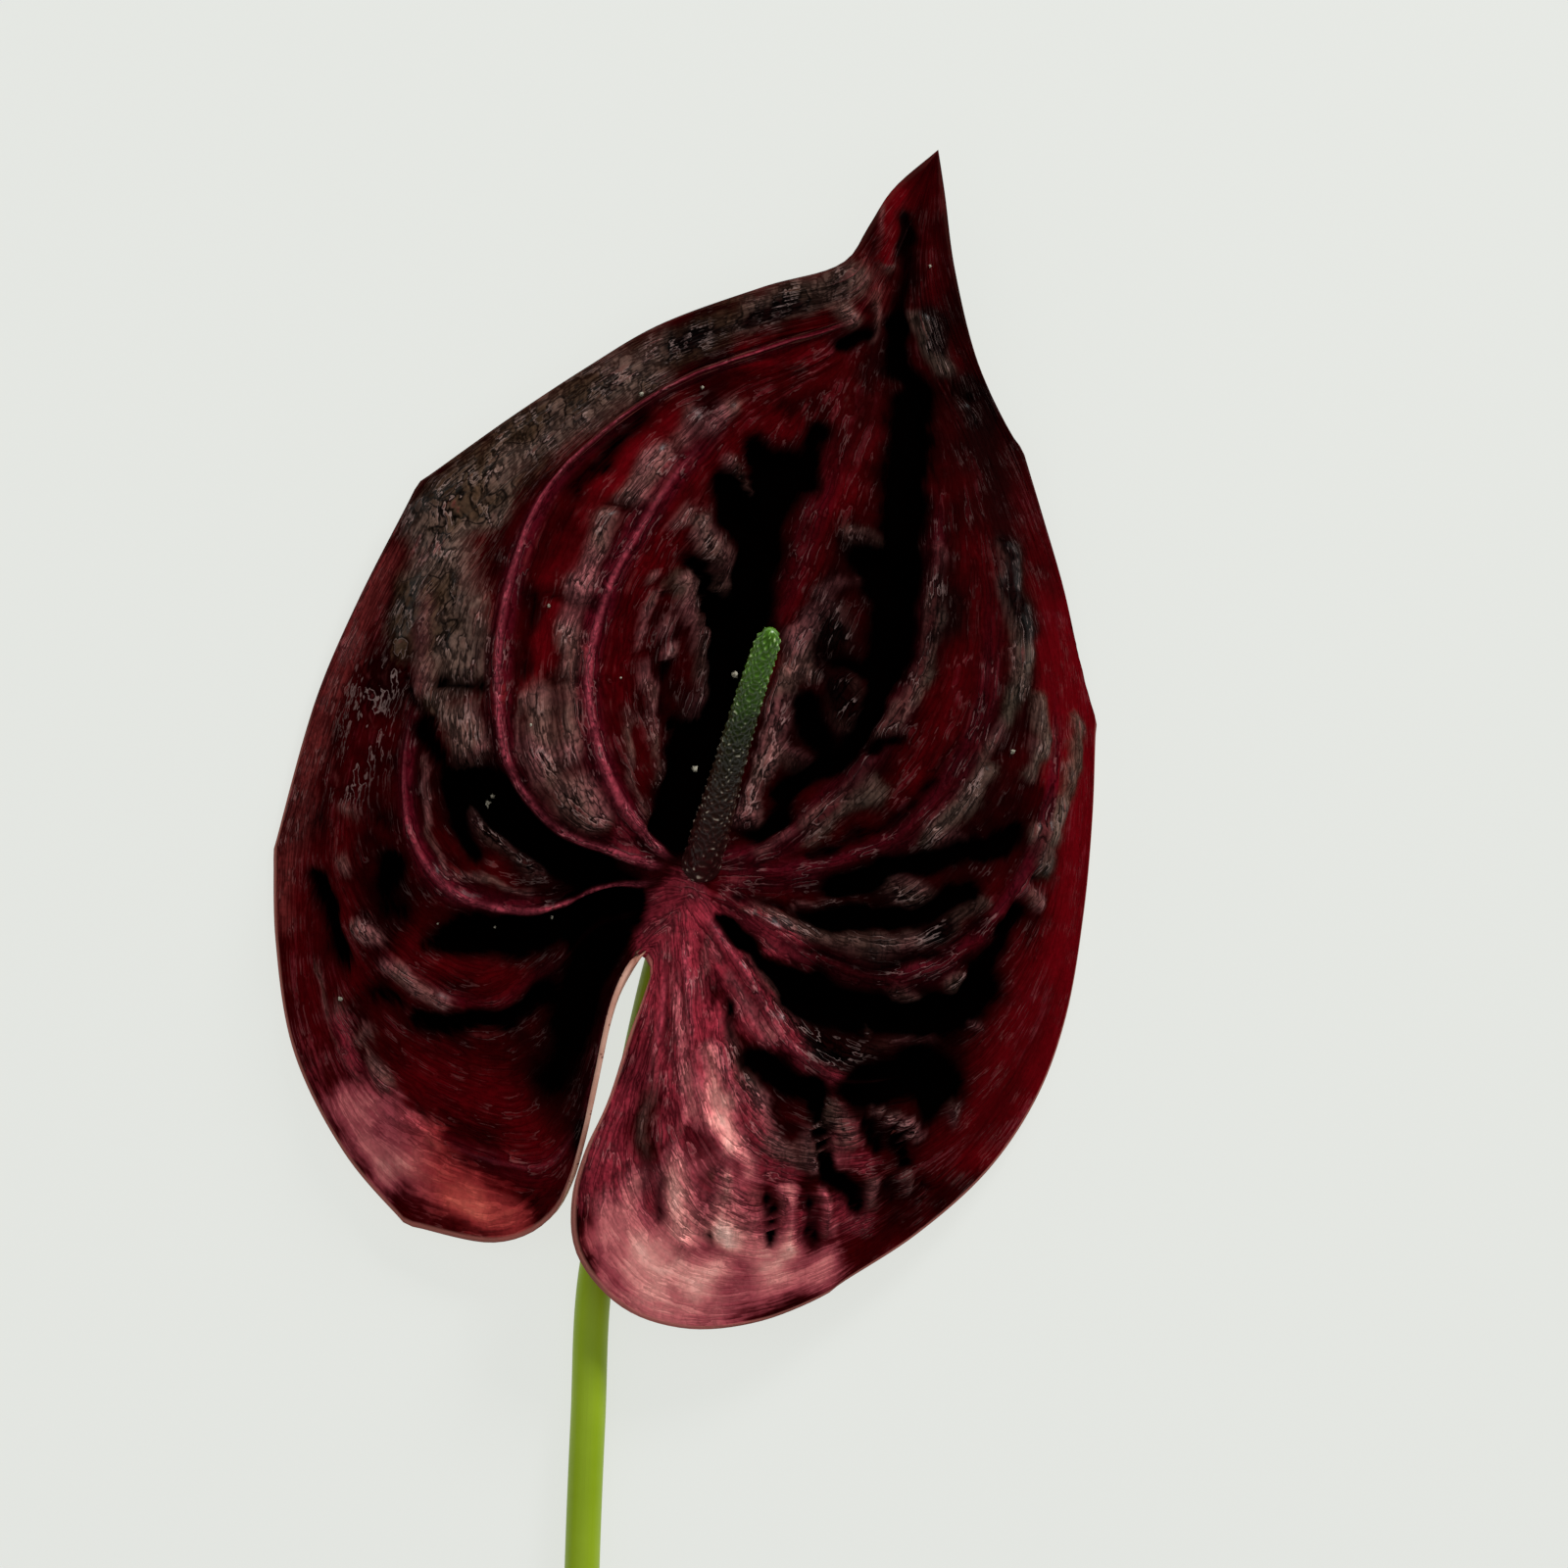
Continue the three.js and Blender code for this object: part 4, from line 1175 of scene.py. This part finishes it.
def uv_place(tree, name):
    return add(tree, "ShaderNodeUVMap", uv_map=name).outputs["UV"]


def separated(tree, place):
    """The outputs X, Y and Z of a place."""
    return add(tree, "ShaderNodeSeparateXYZ", {"Vector": place}).outputs


def clouds(tree, place, scale, detail):
    """The outputs of a noise texture, Fac and Color."""
    return add(tree, "ShaderNodeTexNoise", {"Vector": place, "Scale": scale, "Detail": detail}).outputs


def raised(tree, height, distance):
    """The normal of a skin raised by a height of up to a distance."""
    made = add(tree, "ShaderNodeBump", {"Strength": 1.0, "Distance": distance, "Height": height})
    return made.outputs["Normal"]


def new_group(name, inputs, outputs):
    """An empty node group with its sockets, and its two end nodes."""
    group = bpy.data.node_groups.new(name, "ShaderNodeTree")
    for socket, kind in inputs.items():
        group.interface.new_socket(socket, in_out="INPUT", socket_type=kind)
    for socket in outputs:
        group.interface.new_socket(socket, in_out="OUTPUT", socket_type="NodeSocketFloat")
    return group, group.nodes.new("NodeGroupInput"), group.nodes.new("NodeGroupOutput")


def build_wave():
    """Noise so wide and so long on a pushed map, between about -0.5 and 0.5."""
    group, given, result = new_group(
        "wave",
        {"Map": "NodeSocketVector", "Push": "NodeSocketVector", "Width": "NodeSocketFloat",
         "Length": "NodeSocketFloat", "Drift": "NodeSocketFloat"},
        ["Wave"])
    given = given.outputs
    size = add(group, "ShaderNodeCombineXYZ", {"X": given["Width"], "Y": given["Length"], "Z": 1.0})
    place = vectors(group, "DIVIDE", given["Map"], size.outputs["Vector"])
    push = vectors(group, "SCALE", given["Push"], given["Drift"])
    waves = add(group, "ShaderNodeTexNoise", {
        "Vector": vectors(group, "ADD", place, push), "Scale": 1.0, "Detail": 2.0, "Roughness": 0.55})
    give(group, result, {"Wave": maths(group, "SUBTRACT", waves.outputs["Fac"], 0.5)})
    return group


def build_folds():
    """Rounded folds that meet where a wave crosses zero, with masks of the crease, which takes painted
    shade, and of the crest beside it, which takes painted highlights.
    """
    group, given, result = new_group("folds", {"Wave": "NodeSocketFloat"}, ["Height", "Crease", "Crest"])
    wave = given.outputs["Wave"]
    away = maths(group, "ABSOLUTE", wave)
    beside = maths(group, "ABSOLUTE", maths(group, "SUBTRACT", wave, 0.052))
    give(group, result, {
        "Height": maths(group, "POWER", times(group, away, 2.0), 0.7),
        "Crease": spread(group, away, 0.034, 0.004),
        "Crest": spread(group, beside, 0.026, 0.004)})
    return group


def use_group(tree, group, **inputs):
    """The outputs of a group's node, by name."""
    return add(tree, "ShaderNodeGroup", inputs, node_tree=group).outputs


def face_folds(tree, marks, place, push, wave, folds):
    """The wave that follows the veins, the folds it makes, and shorter folds that lie every way."""
    even, odd = (
        use_group(tree, wave, Map=uv_place(tree, name), Push=push, **WRINKLES_ALONG_VEINS)["Wave"]
        for name in BLADE_MAPS)
    along_veins = blended(tree, marks["odd"], even, odd)
    every_way = use_group(tree, wave, Map=place, Push=push, **WRINKLES_EVERY_WAY)["Wave"]
    crossed = maths(tree, "MULTIPLY_ADD", marks["olive"], 0.6, times(tree, marks["highlight_web"], 2.0), clamped=True)
    main_way = blended(tree, crossed, along_veins, every_way)
    return along_veins, use_group(tree, folds, Wave=main_way), use_group(tree, folds, Wave=every_way)


def face_texture(tree, marks, masks):
    """How strongly the wrinkles show."""
    texture = masks["sheen"]
    for name, share in (("olive_sheen", 1.0), ("olive", 1.0), ("dusk", 0.5), ("rose", 0.7), ("crest", 0.6)):
        texture = maths(tree, "MAXIMUM", texture, times(tree, masks[name], share))
    texture = maths(tree, "MAXIMUM", texture, times(tree, marks["flank"], 0.5))
    return times(
        tree, scaled(tree, texture, 0.8, 0.2), spread(tree, masks["shade"], 1.0, 0.0, 0.05, 1.0),
        spread(tree, marks["salmon"], 1.0, 0.5, 0.5, 1.0))


def face_masks(tree, marks, mottle, long_folds):
    """The masks of the paints, with borders broken into wrinkles, and those made from them."""
    ridges = scaled(tree, long_folds["Height"], 1.2, -0.29)
    fray = scaled(tree, maths(tree, "SUBTRACT", mottle, 0.5), 0.8, ridges)
    masks = {name: spread(tree, scaled(tree, fray, fraying, marks[name]), low, high)
             for name, (fraying, low, high) in MASKS.items()}
    crest = times(
        tree, spread(tree, marks["crest"], 0.12, 0.95), spread(tree, mottle, 0.35, 0.62, 0.6, 1.0))
    bright = maths(tree, "MAXIMUM", crest, masks["rose"])
    masks["crest"] = crest
    masks["sheen"] = times(tree, masks["swelling"], spread(tree, marks["crimson"], 0.95, 0.55))
    masks["dim"] = times(tree, masks["shadow"], scaled(tree, bright, -0.75, 1.0))
    masks["shade"] = times(tree, masks["hollow"], maths(tree, "SUBTRACT", 1.0, crest))
    masks["texture"] = face_texture(tree, marks, masks)
    # Where the wrinkles show, broken by mottling; it places their painted shade and painted highlights
    masks["worn"] = times(tree, masks["texture"], spread(tree, mottle, 0.36, 0.6, 0.35, 1.0))
    masks["lit"] = times(tree, long_folds["Crest"], maths(tree, "SUBTRACT", 1.0, masks["shade"]))
    return masks


def face_colour(tree, marks, masks, place, cloud, blush):
    """The face's colour without the painted shade of its creases: a red ground under one coat after the
    other, among them painted sheen and painted shade.
    """
    across = separated(tree, place)["X"]
    warm = times(tree, spread(tree, across, *WARM_LEFT_END), spread(tree, across, *WARM_RIGHT_END))
    flush = mixed(tree, warm, ramp(tree, blush, FLUSH), WARM_TINT, "MULTIPLY")
    # Painted sheen on the pads, in two colours mixed by cloud
    pads = mixed(tree, spread(tree, cloud, 0.35, 0.65), *PAD_SHEEN)
    # The leathery band: olive-brown, with painted sheen
    band = mixed(tree, spread(tree, cloud, 0.42, 0.6), *LEATHER_AND_SHEEN)
    colour = ramp(tree, cloud, GROUND)
    # Painted sheen on the pads, the olive pads and the band; a pink crest that is partly a painted
    # highlight; then painted shade: the near-black ground, the soft shadow round the hollows and the
    # hollows themselves
    for mask, coat in (
            (masks["crimson"], (0.115, 0.0010, 0.0034)),
            (times(tree, masks["sheen"], 0.92), pads),
            (times(tree, masks["olive_sheen"], 0.75), (0.110, 0.084, 0.060)),
            (masks["olive"], band),
            (masks["dusk"], (0.130, 0.016, 0.016)),
            (times(tree, marks["flank"], 0.85), (0.070, 0.003, 0.008)),
            (masks["rose"], (0.245, 0.020, 0.034)),
            (masks["crest"], (0.310, 0.042, 0.064)),
            (spread(tree, blush, 0.02, 0.35), flush),
            (times(tree, marks["painted_shade"], 0.85), (0.006, 0.001, 0.001)),
            (times(tree, masks["dim"], 0.75), (0.006, 0.0005, 0.0005)),
            (masks["shade"], (0.0003, 0.0001, 0.0001))):
        colour = mixed(tree, mask, colour, coat)
    return colour


def face_painted_shading_and_grain(tree, masks, cloud, grain, long_folds, short_folds):
    """How light each place is, around 1: painted shading on the wrinkles, painted shade in their creases
    and cracks, painted highlights on their crests, and the grain.
    """
    texture, worn = masks["texture"], masks["worn"]
    # Painted shading: the folds' tops lighter, their hollows darker
    painted_shading = times(tree, spread(tree, long_folds["Height"], 0.04, 0.42, 0.5, 1.3),
                 spread(tree, short_folds["Height"], 0.04, 0.42, 0.75, 1.12))
    painted_shading = blended(tree, texture, 1.0, painted_shading)
    grained = scaled(tree, maths(tree, "MAXIMUM", masks["crest"], times(tree, texture, 0.4)), 0.6, 0.08)
    speckle = scaled(tree, maths(tree, "SUBTRACT", grain, 0.5), times(tree, grained, 4.0), 1.0)
    # Painted shade in the creases, and in the cracks of the band
    creases = maths(tree, "MAXIMUM", long_folds["Crease"], times(tree, short_folds["Crease"], 0.7))
    creases = times(tree, creases, times(tree, worn, spread(tree, masks["rose"], 1.0, 0.0, 0.5, 1.0)))
    cracks = spread(tree, maths(tree, "ABSOLUTE", maths(tree, "SUBTRACT", cloud, 0.5)), 0.012, 0.002)
    creases = maths(tree, "MAXIMUM", creases, times(tree, cracks, masks["olive"]))
    # Painted highlights on the lit crests
    glints = scaled(tree, times(tree, masks["lit"], worn), 1.4, 1.0)
    return times(tree, painted_shading, speckle, scaled(tree, creases, -0.88, 1.0), glints)


def face_material(wave, folds):
    material, tree, skin = new_material("spathe_face")
    marks = {name: mark(tree, name) for name in MARKS}
    place = object_place(tree)
    mottling = clouds(tree, place, 220.0, 3.0)
    mottle = mottling["Fac"]
    cloud = clouds(tree, place, 105.0, 2.0)["Fac"]
    grain = clouds(tree, place, 1500.0, 1.0)["Fac"]
    along_veins, long_folds, short_folds = face_folds(tree, marks, place, mottling["Color"], wave, folds)
    masks = face_masks(tree, marks, mottle, long_folds)

    # The salmon spreads with marbled borders, and painted shade and painted highlights on the wrinkles
    # darken and lighten every colour
    marbling = maths(tree, "SUBTRACT", maths(tree, "ADD", cloud, mottle), 1.0)
    blush = scaled(tree, along_veins, 0.5, scaled(tree, marbling, 0.4, marks["salmon"]))
    painted_shading = face_painted_shading_and_grain(tree, masks, cloud, grain, long_folds, short_folds)
    colour = vectors(tree, "SCALE", face_colour(tree, marks, masks, place, cloud, blush), painted_shading)

    # Painted highlights as pale lines on the crests of the wrinkles, and a pale edge round the lobes
    strewn = times(tree, masks["worn"], spread(tree, mottle, 0.45, 0.6, 0.05, 0.45),
                   spread(tree, blush, 0.1, 0.5, 1.0, 0.1))
    highlight_lines = times(tree, masks["lit"], maths(tree, "MAXIMUM", marks["highlight_web"], strewn))
    highlight_lines = maths(tree, "MULTIPLY", highlight_lines, 0.9, clamped=True)
    colour = mixed(tree, highlight_lines, colour, HIGHLIGHT_LINE)
    low_down = spread(tree, separated(tree, place)["Y"], *PALE_LOBES, 0.05, 0.7)
    rim = times(tree, spread(tree, marks["edge"], 0.0011, 0.0005), low_down)
    colour = mixed(tree, rim, colour, PALE_EDGE)

    height = scaled(tree, long_folds["Height"], 0.45, times(tree, short_folds["Height"], 0.22))
    calm = spread(tree, masks["olive"], 0.0, 1.0, 1.0, 0.5)
    height = times(tree, height, times(tree, masks["texture"], calm))
    gloss = maths(tree, "MULTIPLY", maths(tree, "SUBTRACT", masks["worn"], 0.3),
                  spread(tree, masks["dim"], 0.1, 0.5, 0.4, 0.0), clamped=True)
    give(tree, skin, {
        "Base Color": colour, "Normal": raised(tree, height, MM),
        "Roughness": spread(tree, grain, 0.3, 0.7, 0.45, 0.6), "Specular IOR Level": 0.0,
        "Coat Weight": gloss, "Coat Roughness": 0.3})
    return material


def back_material(wave, folds):
    material, tree, skin = new_material("spathe_back")
    place = object_place(tree)
    cloud = clouds(tree, place, 90.0, 4.0)["Fac"]
    up_blade = separated(tree, place)["Y"]
    inner = ramp(tree, cloud, [(0.35, (0.050, 0.007, 0.006)), (0.65, (0.12, 0.024, 0.017))])
    inner = mixed(tree, spread(tree, up_blade, *DARK_TIP), inner, (0.010, 0.001, 0.001))
    outer = ramp(tree, cloud, [(0.35, (0.48, 0.20, 0.14)), (0.6, (0.72, 0.42, 0.32))])
    near_edge = times(
        tree, spread(tree, mark(tree, "edge"), 0.0045, 0.002), spread(tree, up_blade, *PALE_LOBES))
    colour = mixed(tree, near_edge, inner, outer)
    dots = add(tree, "ShaderNodeTexVoronoi", {"Vector": place, "Scale": 900.0}).outputs["Distance"]
    specks = times(tree, spread(tree, dots, 0.22, 0.12), 0.7)
    ribs = use_group(tree, wave, Map=uv_place(tree, BLADE_MAPS[0]), **BACK_RIBS)["Wave"]
    height = use_group(tree, folds, Wave=ribs)["Height"]
    give(tree, skin, {
        "Base Color": mixed(tree, specks, colour, (0.09, 0.008, 0.008)),
        "Normal": raised(tree, height, 0.08 * MM), "Roughness": 0.5, "Specular IOR Level": 0.15})
    return material


def crumb_material():
    material, tree, grains = new_material("pollen")
    lumps = clouds(tree, object_place(tree), 4000.0, 2.0)["Fac"]
    colour = ramp(tree, lumps, [(0.35, (0.11, 0.09, 0.06)), (0.65, (0.46, 0.43, 0.33))])
    give(tree, grains, {"Base Color": colour, "Roughness": 0.6})
    return material


def stem_material(wave):
    material, tree, skin = new_material("stem_skin")
    cloud = clouds(tree, object_place(tree), 60.0, 4.0)["Fac"]
    fibres = use_group(tree, wave, Map=uv_place(tree, TUBE_MAP), **STEM_FIBRES)["Wave"]
    give(tree, skin, {
        "Base Color": ramp(tree, cloud, [(0.3, (0.25, 0.37, 0.004)), (0.7, (0.33, 0.47, 0.016))]),
        "Normal": raised(tree, fibres, 0.05 * MM), "Roughness": 0.42, "Specular IOR Level": 0.3})
    return material


def spadix_material():
    material, tree, skin = new_material("spadix_florets")
    cloud = clouds(tree, object_place(tree), 260.0, 4.0)["Fac"]
    drift = maths(tree, "SUBTRACT", cloud, 0.5)
    along = separated(tree, uv_place(tree, TUBE_MAP))["Y"]
    share = scaled(tree, drift, 0.3, maths(tree, "DIVIDE", along, SPADIX_LENGTH * MM))
    colour = ramp(tree, share, [
        (0.0, (0.052, 0.010, 0.010)), (0.35, (0.040, 0.014, 0.008)), (0.6, (0.026, 0.022, 0.007)),
        (0.76, (0.030, 0.056, 0.007)), (1.05, (0.085, 0.225, 0.012))])
    knob = mark(tree, "knob")
    # Painted highlight: the knobs are lightened towards pale glints, and painted shade darkens the gaps
    # between them
    pale = spread(tree, scaled(tree, drift, 1.2, knob), 0.4, 0.9)
    colour = mixed(tree, pale, colour, (0.30, 0.28, 0.22), "ADD")
    colour = vectors(tree, "SCALE", colour, spread(tree, knob, 0.02, 0.4, 0.55, 1.2))
    give(tree, skin, {"Base Color": colour, "Roughness": 0.3})
    return material


def floor_material():
    material, tree, surface = new_material("pale_table")
    give(tree, surface, {
        "Base Color": (0.12, 0.12, 0.12, 1), "Roughness": 0.9, "Specular IOR Level": 0.0,
        "Emission Color": (0.975, 1.0, 0.95, 1), "Emission Strength": 0.70})
    return material


# Floor, camera and light

def make_floor():
    shape = bmesh.new()
    bmesh.ops.create_grid(shape, x_segments=1, y_segments=1, size=FLOOR_HALF_WIDTH)
    mesh = bpy.data.meshes.new("floor")
    shape.to_mesh(mesh)
    shape.free()
    floor = bpy.data.objects.new("floor", mesh)
    bpy.context.scene.collection.objects.link(floor)
    mesh.materials.append(floor_material())
    floor.location.z = -FLOOR_DROP * MM


def make_camera():
    """A camera so high that its view is nearly flat."""
    lens = bpy.data.cameras.new("camera")
    camera = bpy.data.objects.new("camera", lens)
    bpy.context.scene.collection.objects.link(camera)
    lens.sensor_width = SENSOR
    lens.lens = SENSOR * CAMERA_HEIGHT / (VIEW_SIDE * SKETCH_UNIT)
    lens.clip_end = CAMERA_REACH
    camera.location = sketch(*VIEW_CENTRE, SPATHE_HEIGHT_AT_FOOT + CAMERA_HEIGHT) * MM
    bpy.context.scene.camera = camera


def soft_box(name, way, distance, size, radiance, glossy):
    """A rectangular lamp that faces the spathe from a direction, with its brightness as radiance."""
    lamp = bpy.data.lights.new(name, "AREA")
    lamp.shape = "RECTANGLE"
    lamp.size, lamp.size_y = size
    lamp.energy = radiance * math.pi * size[0] * size[1]
    box = bpy.data.objects.new(name, lamp)
    way = Vector(way).normalized()
    box.location = LIGHT_TARGET + way * distance
    box.rotation_euler = way.to_track_quat("Z", "Y").to_euler()
    box.visible_glossy = glossy
    bpy.context.scene.collection.objects.link(box)


def make_light():
    """The lamps and an even room round them, which reflections hardly show."""
    for name, lamp in LAMPS.items():
        soft_box(name, *lamp)
    world = bpy.data.worlds.new("studio")
    bpy.context.scene.world = world
    world.use_nodes = True
    tree = world.node_tree
    backdrop = tree.nodes["Background"]
    give(tree, backdrop, {"Color": (1, 1, 1, 1), "Strength": ROOM_LIGHT})
    dark = add(tree, "ShaderNodeBackground", {"Color": REFLECTED_ROOM})
    chosen = add(tree, "ShaderNodeMixShader", {
        "Fac": add(tree, "ShaderNodeLightPath").outputs["Is Glossy Ray"],
        1: backdrop.outputs["Background"], 2: dark.outputs["Background"]})
    give(tree, tree.nodes["World Output"], {"Surface": chosen.outputs["Shader"]})


make_camera()
make_floor()
wave = build_wave()
folds = build_folds()
blade = spathe_grid()
make_spathe(blade, [face_material(wave, folds), back_material(wave, folds)])
make_crumbs(blade, [crumb_material()])
make_stem([stem_material(wave)])
make_spadix([spadix_material()])
make_light()
bpy.context.scene.view_settings.view_transform = "Standard"
